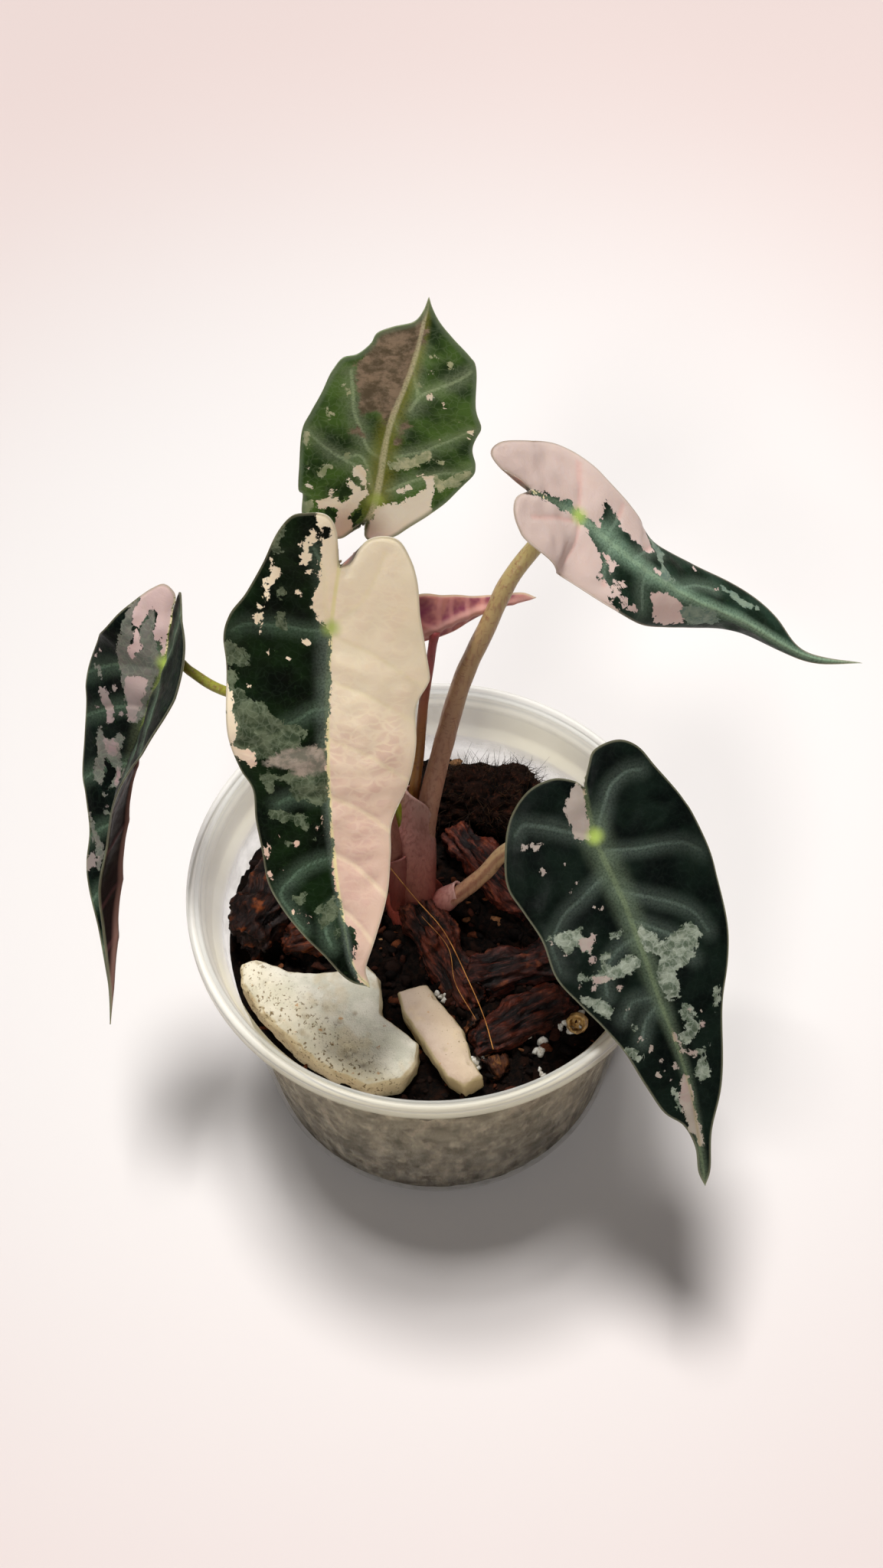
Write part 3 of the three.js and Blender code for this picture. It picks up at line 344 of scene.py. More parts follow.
# Markings, traced from the photo. Each is a half of the blade and an outline of photo pixels x, y; the
# ones that run off the blade go on with points across, along of the blade, in millimetres.
MARKINGS = {
    "top": {
        "pale": [
            (STARBOARD, [493, 660, 505, 656, 518, 656, 530, 650, 545, 643, 557, 636, 555, 627, 546, 621,
             556, 618, 565, 622, 566, 632, 568, 640, 562, 650, 562, 660, 566, 666], [-30, 3, -30, -30, -1,
             -30, -0.5, -9]),
            (PORT, [466, 684, 460, 676, 459, 668, 466, 658, 474, 650, 478, 648, 470, 634, 462, 628, 455,
             624, 452, 630, 458, 637, 460, 642, 453, 648, 446, 652, 440, 646, 434, 650, 432, 642, 438, 636,
             431, 635, 427, 645, 420, 648, 413, 652, 413, 662, 424, 664, 437, 660, 441, 664, 437, 678, 430,
             690, 420, 700], [16, -14, 16, -24, 3, -24]),
            (PORT, [458, 608, 470, 605, 478, 612, 480, 630, 480, 645, 472, 632, 464, 622]),
            (STARBOARD, [517, 641, 527, 636, 535, 633, 537, 637, 528, 641]),
            (STARBOARD, [613, 562, 617, 560, 618, 568, 614, 572]),
        ],
        "grey": [
            (PORT, [448, 500, 453, 498, 458, 510, 459, 516, 453, 516, 450, 505]),
            (PORT, [424, 528, 429, 526, 430, 535, 436, 540, 432, 544, 425, 540]),
            (PORT, [416, 616, 422, 606, 430, 601, 434, 607, 426, 609, 424, 616, 419, 621]),
            (PORT, [400, 560, 404, 570, 402, 584, 398, 578, 397, 566]),
            (PORT, [449, 594, 455, 591, 457, 597, 450, 598]),
            (STARBOARD, [506, 600, 520, 601, 540, 596, 560, 589, 566, 596, 556, 603, 540, 607, 525, 611,
             510, 608]),
            (STARBOARD, [566, 620, 580, 627, 590, 622, 600, 617, 612, 614, 615, 620, 605, 626, 598, 634,
             588, 632, 578, 640, 570, 640, 566, 630]),
            (STARBOARD, [573, 600, 580, 599, 584, 604, 578, 606]),
            (STARBOARD, [545, 500, 556, 498, 556, 503, 546, 504]),
            (STARBOARD, [560, 462, 572, 461, 571, 465, 562, 466]),
            (STARBOARD, [583, 472, 592, 470, 594, 478, 586, 480]),
            (PORT, [395, 655, 408, 650, 412, 660, 400, 668, 394, 664]),
        ],
        "dark": [
            (PORT, [424, 664, 433, 661, 440, 663, 438, 670, 434, 679, 430, 672, 424, 670]),
            (PORT, [457, 674, 464, 667, 474, 662, 475, 670, 468, 680, 462, 688, 460, 682]),
            (PORT, [444, 641, 450, 632, 460, 638, 455, 645, 448, 648, 443, 652]),
        ],
        "veil": [
            (PORT, [463, 474, 478, 462, 488, 446, 495, 436, 510, 424, 540, 417, 558, 405, 560, 432, 555,
             442, 545, 462, 538, 482, 530, 502, 524, 522, 518, 536, 512, 548, 505, 556, 501, 546, 498, 535,
             490, 533, 480, 536, 470, 538, 467, 530, 470, 520, 466, 500]),
            (STARBOARD, [525, 550, 532, 549, 536, 554, 530, 560, 525, 572, 522, 580, 516, 580, 518, 570,
             522, 560]),
            (PORT, [454, 558, 466, 556, 472, 562, 477, 569, 468, 568, 460, 565]),
        ],
        "specks": [
            575, 575, 1.5, 580, 527, 2, 563, 518, 2.2, 602, 550, 1, 566, 487, 2, 404, 632, 3, 405, 608, 1,
        ],
        "veins": [
            [535, 536, 550, 517, 574, 506, 598, 495, 615, 484],
            [515, 597, 550, 589, 574, 580, 598, 570, 618, 560],
            [505, 640, 540, 628, 574, 619, 602, 616, 617, 610],
            [500, 600, 481, 586, 470, 560, 463, 532, 460, 502, 459, 482],
            [490, 648, 472, 615, 446, 597, 420, 580, 403, 560],
            [446, 597, 474, 597, 488, 640],
            [519, 560, 505, 530, 500, 500, 505, 470],
            [545, 515, 541, 485, 548, 450],
        ],
    },
    "front": {
        "pale": [
            (PORT, [410, 674, 414, 682, 419, 690, 421, 702, 420, 720, 418, 735, 416, 750, 415, 762, 409,
             772, 407, 782, 408, 790, 413, 800, 417, 810, 425, 818, 432, 830, 430, 845, 431, 870, 431, 900,
             431, 930, 427, 937, 426, 960, 425, 980, 425, 1000, 428, 1012, 430, 1040, 431, 1080, 433, 1110,
             436, 1140, 440, 1165, 445, 1190, 450, 1203, 458, 1210, 466, 1218, 464, 1225, 467, 1232, 463,
             1240, 464, 1252, 456, 1257, 462, 1263, 466, 1270, 468, 1278, 475, 1285, 483, 1290], [5, 95, 60,
             95, 60, -40, -3, -40]),
            (STARBOARD, [396, 702, 401, 700, 408, 697, 405, 692, 409, 689, 413, 692, 415, 699, 412, 706,
             406, 704, 404, 712, 404, 722, 405, 730, 399, 735, 394, 733, 396, 725, 396, 716, 393, 709]),
            (STARBOARD, [353, 740, 355, 726, 358, 735, 363, 738, 366, 745, 363, 755, 357, 762, 352, 757,
             351, 748]),
            (STARBOARD, [344, 754, 348, 757, 347, 764, 343, 763]),
            (STARBOARD, [347, 766, 353, 764, 354, 769, 350, 772, 347, 770]),
            (STARBOARD, [330, 801, 336, 803, 342, 800, 343, 808, 340, 814, 335, 816, 333, 809]),
            (STARBOARD, [303, 972, 312, 978, 325, 977, 333, 985, 338, 997, 330, 998, 322, 992, 312, 991,
             304, 983, 299, 972]),
            (STARBOARD, [348, 1101, 352, 1104, 350, 1119, 346, 1117, 345, 1108]),
            (STARBOARD, [350, 1138, 354, 1137, 355, 1143, 351, 1144]),
            (STARBOARD, [364, 1133, 370, 1134, 370, 1138, 365, 1138]),
            (STARBOARD, [292, 893, 298, 890, 304, 905, 306, 930, 310, 950, 306, 965, 298, 968, 293, 940,
             291, 910]),
        ],
        "grey": [
            (STARBOARD, [297, 833, 306, 838, 315, 843, 323, 852, 327, 858, 330, 870, 325, 872, 317, 866,
             306, 867, 300, 870, 292, 862, 290, 845]),
            (STARBOARD, [293, 875, 302, 873, 310, 880, 312, 890, 310, 895, 320, 898, 323, 907, 335, 915,
             345, 918, 352, 928, 360, 935, 369, 940, 372, 948, 385, 946, 400, 955, 393, 962, 395, 972, 405,
             976, 415, 974, 428, 972, 429, 1010, 428, 1047, 420, 1050, 410, 1048, 400, 1045, 388, 1046, 382,
             1040, 380, 1030, 370, 1020, 360, 1018, 357, 1034, 352, 1036, 348, 1024, 343, 1020, 342, 1010,
             350, 1004, 362, 1009, 372, 1012, 374, 1004, 366, 997, 355, 991, 345, 989, 335, 990, 320, 985,
             306, 978, 293, 960, 290, 910]),
            (STARBOARD, [352, 1060, 370, 1057, 385, 1062, 395, 1060, 400, 1068, 404, 1080, 400, 1086, 392,
             1080, 380, 1072, 365, 1072, 355, 1068]),
            (STARBOARD, [411, 1188, 420, 1182, 428, 1175, 436, 1170, 441, 1185, 440, 1200, 430, 1208, 418,
             1212, 415, 1200, 419, 1195]),
            (STARBOARD, [362, 760, 372, 762, 374, 772, 368, 782, 364, 776]),
            (STARBOARD, [364, 800, 371, 800, 373, 812, 374, 822, 364, 820, 362, 810]),
            (STARBOARD, [382, 1170, 398, 1166, 399, 1177, 392, 1178, 384, 1176]),
            (STARBOARD, [352, 690, 368, 680, 372, 690, 367, 705, 369, 720, 362, 724, 352, 715, 350, 700]),
            (STARBOARD, [404, 1091, 413, 1092, 414, 1097, 407, 1098]),
            (STARBOARD, [372, 1096, 380, 1097, 379, 1102, 373, 1101]),
            (STARBOARD, [435, 1215, 444, 1214, 446, 1224, 438, 1227]),
        ],
        "dark": [
            (STARBOARD, [421, 688, 428, 684, 434, 686, 436, 693, 431, 699, 423, 700, 419, 696]),
        ],
        "veil": [
            (STARBOARD, [345, 995, 360, 983, 380, 977, 400, 974, 425, 975, 428, 1005, 410, 1010, 390, 1012,
             372, 1001]),
        ],
        "specks": [
            342, 784, 2.6, 339, 791, 2, 391, 773, 3, 401, 836, 3, 350, 853, 1.5, 353, 848, 1.2, 377, 858,
            2.2, 325, 894, 2, 349, 776, 2.2, 339, 823, 1.5, 404, 744, 1.8, 361, 1092, 1.5, 387, 1099, 2.2,
            357, 1147, 1.8, 391, 1193, 2, 402, 1196, 1.2, 404, 1206, 2, 400, 1212, 1.5, 418, 1068, 1.4, 414,
            1079, 1.6, 420, 1076, 1.2, 408, 1072, 1.4, 419, 1089, 1.2, 384, 1190, 1.3, 437, 699, 0.1,
        ],
        "veins": [
            [428, 822, 410, 823, 367, 818, 323, 814, 304, 822],
            [428, 924, 410, 928, 393, 937, 376, 945, 356, 958, 332, 971],
            [430, 1120, 415, 1124, 397, 1132, 384, 1144, 370, 1157, 367, 1170, 376, 1185, 395, 1215],
            [430, 1036, 410, 1040, 384, 1040, 362, 1048],
            [433, 822, 425, 790, 424, 750, 410, 715],
            [440, 1180, 428, 1196, 425, 1216, 432, 1236],
        ],
    },
    "left": {
        "pale": [
            (STARBOARD, [187, 777, 181, 790, 176, 800, 173, 813, 178, 820, 176, 835, 169, 845, 171, 853,
             175, 861, 180, 851, 188, 846, 184, 838, 182, 825, 186, 812, 192, 808, 195, 797, 200, 793, 205,
             801, 205, 815, 201, 826, 203, 836, 209, 833, 211, 843, 208, 850, 214, 862, 218, 850, 222, 830],
             [-0.2, -2, -0.2, -30, -12, -30]),
            (STARBOARD, [131, 900, 137, 897, 141, 905, 145, 918, 150, 930, 151, 942, 142, 943, 140, 930,
             137, 918, 133, 908]),
            (STARBOARD, [152, 1003, 158, 1000, 158, 1015, 155, 1025, 150, 1022, 153, 1012]),
            (STARBOARD, [114, 1115, 122, 1113, 125, 1118, 133, 1118, 134, 1122, 126, 1126, 122, 1132, 115,
             1138, 111, 1130]),
            (STARBOARD, [138, 964, 150, 962, 156, 972, 155, 985, 148, 988, 140, 985]),
            (STARBOARD, [168, 884, 182, 882, 196, 886, 190, 905, 184, 925, 178, 940, 168, 940, 167, 925,
             166, 905]),
        ],
        "grey": [
            (STARBOARD, [165, 796, 181, 784, 177, 800, 173, 815, 177, 825, 173, 840, 171, 850, 190, 846,
             205, 849, 213, 858, 208, 875, 203, 890, 198, 905, 193, 920, 188, 935, 181, 942, 168, 942, 167,
             930, 165, 920, 163, 910, 165, 900, 162, 890, 160, 880, 156, 868, 154, 850, 157, 830, 162, 815,
             163, 800]),
            (STARBOARD, [184, 838, 182, 825, 186, 812, 192, 808, 195, 797, 200, 793, 205, 801, 205, 815,
             201, 826, 203, 836, 205, 850, 190, 850]),
            (STARBOARD, [126, 868, 130, 866, 132, 875, 136, 888, 130, 882, 125, 872]),
            (STARBOARD, [131, 950, 135, 947, 137, 960, 150, 962, 160, 958, 164, 965, 158, 975, 157, 985,
             161, 995, 160, 1002, 159, 1015, 156, 1026, 148, 1030, 143, 1032, 143, 1022, 150, 1015, 148,
             1000, 140, 990, 138, 1000, 139, 1015, 135, 1025, 128, 1022, 122, 1020, 123, 1000, 127, 995,
             130, 985, 128, 970, 130, 960]),
            (STARBOARD, [134, 1033, 142, 1032, 143, 1040, 137, 1039]),
            (STARBOARD, [116, 1057, 120, 1058, 125, 1075, 127, 1085, 133, 1095, 138, 1102, 137, 1115, 135,
             1130, 133, 1142, 128, 1135, 126, 1120, 128, 1110, 124, 1098, 119, 1085, 117, 1070]),
            (STARBOARD, [137, 1058, 142, 1057, 145, 1062, 139, 1063]),
            (STARBOARD, [160, 1005, 168, 1003, 163, 1018, 159, 1022]),
        ],
        "dark": [
            (STARBOARD, [139, 992, 145, 991, 146, 1000, 152, 1003, 152, 1015, 148, 1020, 143, 1025, 141,
             1035, 135, 1030, 136, 1018, 140, 1010]),
        ],
        "specks": [
            128, 857, 2.4, 131, 848, 1.4, 129, 923, 2, 152, 898, 2.6, 158, 932, 2.6, 145, 1045, 1.2, 141,
            1052, 1.2,
        ],
    },
    "right": {
        "pale": [
            (PORT, [692, 641, 700, 643, 712, 646, 722, 651, 732, 655, 745, 655, 752, 665, 757, 672, 765,
             678, 775, 684, 784, 690, 785, 684, 783, 678, 788, 671, 786, 660, 788, 655, 793, 662, 797, 661,
             803, 671, 807, 679, 808, 688, 815, 698, 825, 708, 830, 708, 838, 717, 847, 724, 853, 722, 848,
             712, 843, 702, 841, 697], [30, 18, 30, -45, 0.2, -45]),
            (STARBOARD, [692, 645, 700, 648, 710, 653, 722, 660, 735, 667, 748, 672, 755, 677, 762, 690,
             770, 702, 778, 714, 782, 728, 786, 740, 781, 745, 776, 752, 778, 757, 784, 750, 788, 757, 793,
             765, 798, 768, 800, 776, 797, 781, 792, 780, 791, 785, 800, 792, 806, 799], [-30, 12, -30, -45,
             -0.2, -45]),
            (STARBOARD, [850, 775, 857, 773, 865, 777, 873, 774, 882, 780, 888, 786, 893, 790, 885, 796,
             888, 803, 893, 811, 870, 813, 852, 812, 851, 795]),
            (STARBOARD, [788, 724, 793, 729, 800, 736, 806, 742, 801, 744, 795, 738, 789, 732]),
            (STARBOARD, [800, 770, 806, 763, 805, 760, 799, 764]),
            (STARBOARD, [811, 779, 816, 778, 815, 785, 812, 786]),
            (STARBOARD, [815, 792, 822, 788, 829, 793, 830, 800, 822, 797, 816, 797]),
        ],
        "grey": [
            (STARBOARD, [884, 796, 892, 789, 905, 790, 918, 792, 935, 798, 938, 805, 930, 812, 895, 813,
             888, 804]),
            (PORT, [941, 768, 955, 775, 970, 785, 988, 797, 978, 797, 962, 790, 952, 780, 943, 772]),
            (PORT, [843, 700, 855, 712, 866, 725, 862, 738, 870, 752, 880, 760, 868, 762, 858, 750, 860,
             740, 856, 726, 850, 715]),
        ],
        "specks": [
            797, 746, 2, 813, 764, 2.2, 804, 776, 2, 811, 791, 2, 857, 748, 3, 905, 745, 2.4, 933, 770, 3.2,
            803, 758, 1.5,
        ],
        "veins": [
            [755, 665, 757, 645, 755, 605],
            [747, 680, 719, 677, 695, 676],
            [755, 682, 749, 713, 737, 733],
            [790, 700, 805, 680, 812, 660],
            [800, 707, 790, 735, 787, 765],
            [830, 727, 850, 715, 858, 722],
            [845, 742, 838, 765, 838, 795],
            [885, 768, 910, 765, 930, 770],
        ],
    },
    "low": {
        "pale": [
            (STARBOARD, [745, 1028, 752, 1022, 762, 1028, 764, 1045, 767, 1065, 770, 1085, 772, 1095, 768,
             1100, 760, 1098, 750, 1093, 747, 1080, 740, 1070, 735, 1058, 737, 1045, 742, 1040]),
            (STARBOARD, [692, 1101, 698, 1103, 705, 1100, 702, 1107, 701, 1112, 697, 1113, 695, 1107]),
            (STARBOARD, [770, 1277, 782, 1274, 795, 1273, 796, 1278, 786, 1284, 775, 1284]),
            (STARBOARD, [889, 1403, 898, 1405, 900, 1415, 904, 1420, 904, 1435, 907, 1445, 910, 1455, 908,
             1462, 913, 1470, 917, 1480, 919, 1495, 914, 1495, 908, 1484, 899, 1475, 894, 1460, 889, 1445,
             885, 1435, 886, 1425, 889, 1415]),
            (PORT, [878, 1345, 884, 1352, 890, 1365, 897, 1371, 908, 1374, 905, 1379, 895, 1376, 887, 1370,
             880, 1358]),
            (STARBOARD, [848, 1360, 855, 1372, 849, 1375, 845, 1368]),
            (STARBOARD, [756, 1226, 765, 1224, 772, 1219, 778, 1222, 776, 1234, 770, 1244, 760, 1242, 752,
             1236]),
        ],
        "grey": [
            (STARBOARD, [724, 1220, 735, 1216, 748, 1216, 760, 1212, 757, 1220, 765, 1224, 772, 1220, 778,
             1222, 775, 1235, 770, 1245, 760, 1243, 752, 1238, 748, 1240, 738, 1245, 730, 1238, 725, 1232]),
            (STARBOARD, [789, 1240, 796, 1241, 796, 1250, 790, 1256, 791, 1262, 800, 1262, 815, 1250, 828,
             1247, 836, 1255, 835, 1263, 825, 1270, 812, 1275, 800, 1277, 790, 1280, 780, 1284, 770, 1281,
             760, 1283, 754, 1275, 757, 1270, 770, 1275, 778, 1272, 786, 1262, 784, 1250]),
            (STARBOARD, [760, 1302, 770, 1303, 778, 1305, 786, 1302, 793, 1308, 800, 1310, 803, 1315, 800,
             1325, 797, 1330, 785, 1328, 775, 1322, 768, 1313, 762, 1310]),
            (PORT, [836, 1208, 845, 1213, 855, 1222, 858, 1228, 870, 1228, 880, 1218, 890, 1210, 903, 1203,
             912, 1210, 914, 1220, 908, 1235, 905, 1247, 900, 1255, 890, 1262, 880, 1268, 885, 1275, 890,
             1290, 885, 1300, 875, 1305, 868, 1300, 862, 1285, 858, 1270, 862, 1255, 855, 1248, 845, 1243,
             838, 1235, 832, 1225]),
            (PORT, [895, 1310, 905, 1318, 910, 1325, 903, 1325, 912, 1335, 910, 1345, 905, 1355, 900, 1362,
             895, 1368, 888, 1360, 884, 1352, 888, 1348, 896, 1346, 893, 1340, 897, 1333, 890, 1328, 888,
             1320]),
            (PORT, [910, 1385, 920, 1380, 928, 1392, 925, 1405, 915, 1412, 908, 1400]),
            (PORT, [908, 1372, 918, 1366, 924, 1362, 921, 1369, 912, 1374]),
            (STARBOARD, [815, 1370, 828, 1370, 838, 1378, 835, 1385, 825, 1382]),
            (STARBOARD, [796, 1218, 806, 1214, 812, 1216, 806, 1224, 797, 1226]),
            (STARBOARD, [825, 1336, 832, 1340, 830, 1347, 823, 1344]),
            (STARBOARD, [876, 1420, 884, 1424, 886, 1436, 890, 1450, 884, 1446, 878, 1436]),
            (PORT, [930, 1290, 937, 1285, 938, 1305, 934, 1320, 930, 1310]),
            (STARBOARD, [716, 1222, 720, 1220, 719, 1226, 715, 1227]),
        ],
        "specks": [
            684, 1107, 1.8, 708, 1136, 2, 737, 1130, 1.2, 753, 1152, 1.6, 747, 1163, 1.8, 774, 1186, 1.4,
            784, 1186, 1.2, 838, 1357, 3, 862, 1385, 2, 880, 1392, 3, 858, 1402, 2.6, 866, 1399, 1.2, 874,
            1408, 2.2, 808, 1291, 2.2, 822, 1317, 1.6, 758, 1289, 1, 774, 1292, 1.4, 720, 1232, 2, 772,
            1254, 3, 738, 1246, 1, 900, 1320, 1.5, 915, 1337, 1.4, 918, 1318, 1.6,
        ],
        "veins": [
            [788, 1110, 832, 1108, 862, 1102, 893, 1101, 915, 1110],
            [780, 1090, 788, 1053, 795, 1030, 806, 1016, 819, 1006, 836, 1005],
            [765, 1090, 741, 1086, 719, 1082, 699, 1078, 682, 1078, 673, 1090],
            [785, 1148, 775, 1156, 758, 1174, 736, 1195, 726, 1216, 721, 1238, 733, 1269],
            [850, 1303, 835, 1305, 824, 1312, 815, 1330],
            [856, 1315, 848, 1325, 841, 1338, 838, 1360],
            [801, 1160, 830, 1168, 870, 1176, 905, 1190, 925, 1215],
            [822, 1200, 850, 1210, 885, 1225, 905, 1250],
            [832, 1222, 806, 1240, 790, 1268, 792, 1300],
        ],
    },
}

# Markings: how far they reach at most, the photo's pixels per millimetre of blade, the step and the margins
# of the grid that finds a pixel on a blade, what the other half costs in pixels, and how ragged edges are
BLANK = 12
PIXELS_PER_MM = 4.6
TRACE_STEP = 0.3
TRACE_MARGINS = [1.5, 2, 1]
OTHER_HALF_COST = 1.5
EDGE_ROUGHNESS = 0.85

# Veins that the photo doesn't show: the halves that have them, and where each starts and how far it reaches
VEINS_BY_RULE = {
    "top": [], "front": [PORT], "left": [PORT, STARBOARD], "right": [], "low": [], "back": [PORT, STARBOARD],
}
RULED_VEINS = [[0.02, 0.98], [0.14, 0.95], [0.3, 0.85], [0.46, 0.7], [0.62, 0.5], [0.77, 0.33]]

# Perlite clusters: x, y, count and spread
PERLITE = [
    [1, -20.5, 5, 2], [9.5, -36.5, 9, 2.6], [24, -40, 3, 1.2], [32, -26, 7, 4], [22, -32, 4, 4],
    [-30, 30, 5, 9],
]

# Fibres on the bark: radius and route
FIBRES = [
    [0.12, [[-15, 11, 84], [-12.5, 6.6, 82], [-4.8, -2.5, 77.5], [2.2, -10.4, 74], [7.6, -22, 71],
            [10.9, -30.3, 68.5], [12.8, -37.1, 65.5]]],
    [0.07, [[-3, -6, 74], [3, -14, 73], [4.5, -22, 70], [9, -30, 67]]],
]

# The lights: kind, place in metres, power and colour, and what they aim at
LIGHT_TARGET = [0, 0.01, 0.15]
LIGHTS = [
    ["SUN", [-0.07, 0.33, 1.15], 3.75, "#fffefc"],
    ["SPOT", [-0.3, -0.75, 1.0], 29, "#fffefb"],
]
SUN_ANGLE = 16
SPOT_RADIUS = 0.15
SPOT_CONE = 16
SPOT_BLEND = 0.7

# The world is weak as a light and bright as the backdrop
WORLD_COLOUR = "#f6f3f2"
WORLD_STRENGTH = 0.1
BACKDROP_STRENGTH = 0.86

# Leaf colours. Pairs are mixed by noise, but pale changes along the leaf over pale_span. band is the light
# stripe by the midrib, and veil, grey and pale are the patches that have lost some or all of their green.
LEAF_SHADES = {
    "all": {
        "dark": "#050c05", "green": "#12230d", "fleck": "#2a4420", "vein": "#7f9a80", "vein_strength": 0.28,
        "band": "#75877a", "band_strength": 0.5, "band_width": [4.5, 1.6], "rib": "#8d9c74",
        "rib_strength": 0.35, "veil": ["#7d7a6c", "#b0a294"], "grey": ["#3c4834", "#68725a"],
        "grey_light": "#9aa68c", "net": 0.02, "pale": ["#f6e6cc", "#dcc0ae"], "pale_span": [10, 60],
        "blush": "#cfa79c", "blush_share": 0.45, "pale_vein": "#f4e6c4", "pale_rib": "#e9e0aa",
        "lime": "#b4c860", "edge": "#8f8f78", "edge_strength": 0.4, "edge_width": 0.6, "gloss": 0.34,
        "under": ["#0d0608", "#200e13"], "under_pale": "#b98a84", "under_vein": "#5e3a3e",
        "under_rib": "#8d6a60",
    },
    # The top leaf's greens and pale patches are lighter than the other leaves': partly the young leaf's own
    # fresher colour, and partly painted light, as if light shone through the blade
    "top": {
        "dark": "#263c1c", "green": "#547434", "fleck": "#769254", "vein": "#b4c89e", "vein_strength": 0.42,
        "band": "#92923c", "band_strength": 0.85, "band_width": [5, 1.5], "rib": "#e0dcb4",
        "rib_strength": 0.8, "veil": ["#665c48", "#a08e76"], "grey": ["#9aa67c", "#cfd0aa"], "net": 0.1,
        "pale": ["#fcf0dc", "#f6e0d0"], "pale_span": [0, -12], "blush": "#efcdbc", "pale_vein": "#f2e0c2",
        "edge": "#74866a", "edge_strength": 0.8, "edge_width": 1.3, "under": ["#3a2a24", "#54362e"],
    },
    "front": {"band": "#8a9a8c"},
    "left": {
        "dark": "#050a08", "green": "#0c1712", "band": "#8a9672", "band_strength": 0.35, "rib": "#a3b34e",
        "grey": ["#77736c", "#686c63"], "pale": ["#cbb4b0", "#8f8580"], "pale_span": [2, 16],
        "blush": "#c29aa0", "pale_vein": "#cdbcb4",
    },
    "right": {
        "dark": "#111c13", "green": "#23362a", "vein": "#8fa690", "band": "#86a088", "band_strength": 0.75,
        "rib": "#93a88a", "grey": ["#7d8c7c", "#62756a"], "pale": ["#cbb8b0", "#cbb8b0"],
        "blush": "#cfaaa2", "pale_vein": "#d2a59c", "edge": "#a39a8c", "under": ["#4b3c36", "#6a5d55"],
    },
    "low": {
        "dark": "#060b09", "green": "#101a14", "fleck": "#1b2820", "vein": "#77877a", "vein_strength": 0.26,
        "band": "#67755f", "band_strength": 0.7, "band_width": [5.5, 1.8], "rib": "#828f68",
        "grey": ["#4f5a4a", "#8b9283"], "grey_light": "#c3c9bc", "net": 0.012,
        "pale": ["#a1968d", "#a1988c"], "blush": "#a08080", "pale_vein": "#b3a79a", "pale_rib": "#a3957a",
    },
    "back": {
        "dark": "#1b2a1e", "green": "#2a3d2c", "edge": "#e0cdb4", "under": ["#86405a", "#c4877c"],
        "under_pale": "#c08c80", "under_vein": "#c68c86", "under_rib": "#c99a90",
    },
}

# Stalk colours from the crown to the blade
STALK_SHADES = {
    "top": [(0, "#a4605a"), (0.3, "#b07a68"), (1, "#a08a60")],
    "front": [(0, "#9a5a55"), (0.3, "#a8705f"), (1, "#a08a60")],
    "left": [(0, "#9aa818"), (0.3, "#94a020"), (0.6, "#8f9030"), (1, "#8f9030")],
    "right": [(0, "#a5655f"), (0.12, "#b88874"), (0.3, "#b98b72"), (0.5, "#ac8a66"), (1, "#a39c60")],
    "low": [(0, "#a06a62"), (0.3, "#b08a68"), (0.6, "#b09a70"), (1, "#9a8a60")],
    "back": [(0, "#a5763c"), (0.55, "#a5763c"), (0.9, "#a04848"), (1, "#a04848")],
}

# Sheath colours from the foot to the lip, of maroon and of pink sheaths
MAROON_SHEATH = [(0, "#8a3a2c"), (0.6, "#944540"), (1, "#9a5650")]
PINK_SHEATH = [(0, "#8a4238"), (0.4, "#a8685c"), (0.85, "#c4938a"), (1, "#d0aaa0")]

# Crumbs: colours of the loose bark and peat on the soil, from the most of them to the fewest
CRUMB_SHADES = [(0, "#080403"), (0.5, "#1a0d08"), (0.78, "#3a1b10"), (0.93, "#64341c"), (1, "#9a7450")]

# Plastic colours by height from the foot to the rim. The greyer bands round the rim are painted shade of
# its grooves, between lighter rings
CUP_SHADES = [
    (0, "#d2cdbf"), (0.84, "#fff6cf"), (0.93, "#fffadb"), (0.945, "#cdc8b8"), (0.957, "#efebdf"),
    (0.966, "#b9bcba"), (0.975, "#f4f1e6"), (0.985, "#bcc0c1"), (0.992, "#f6f4ec"), (1, "#fffdf6"),
]

# Chips: width of the ridges, depth of the relief, and colours of the crevices, body, crest and flake. The
# crevices' colour is the bark's own dark together with painted shade in its crevices and fine grooves
BARK = {
    "bark_left": [5, 1.2, "#050101", "#210d07", "#49200e", "#904617"],
    "bark_left_front": [4, 1, "#080201", "#441c0c", "#7e3915", "#a25617"],
    "bark_centre": [3.4, 0.9, "#0e0503", "#502215", "#71311c", "#92522f"],
    "bark_right_back": [3, 0.9, "#0c0303", "#501f12", "#77351e", "#97522f"],
    "bark_right": [3.2, 0.9, "#0e0503", "#502215", "#75391e", "#975a2f"],
    "bark_right_front": [3.6, 1, "#090302", "#32120c", "#5a2415", "#7c3f22"],
    "bark_front": [3.2, 0.9, "#0a0302", "#3f170a", "#652817", "#874624"],
    "bark_between": [2.6, 0.7, "#0c0402", "#452210", "#714122", "#986431"],
}

# Stones: number of pits, height of the lumps, the line that pits and specks gather along, colours of body,
# stains, spots and flanks, and share of specks. The flanks' colour is partly the stone's own tan and partly
# painted shade on its steep sides
STONES = {
    "pumice_large": [
        170, 0.3, [[-42, -24], [-20, -46]], "#f4efe0", "#e2dfce", "#c58f52", "#e6d6b2", 0.75,
    ],
    "pumice_small": [
        10, 0.12, [[8, -30], [14, -44]], "#cdb8a8", "#c2ab9b", "#b98a5a", "#b9a880", 0.1,
    ],
}

# Sheaths of the crown: length, width of the wing, the side it is on, and from maroon to pink
SHEATHS = {
    "top": [13, 0.6, [-0.5, -1, 0], 0.15],
    "front": [17, 0.8, [0.6, -1, 0], 0.1],
    "left": [7, 0.3, [-1, 0, 0], 0.0],
    "right": [31, 3.9, [-1, -0.25, 0], 0.85],
    "low": [13, 1.7, [0, 0.3, 1], 0.7],
    "back": [12, 0.4, [0, 1, 0], 0.6],
}


def unit(ways):
    return ways / np.linalg.norm(ways, axis=-1, keepdims=True)


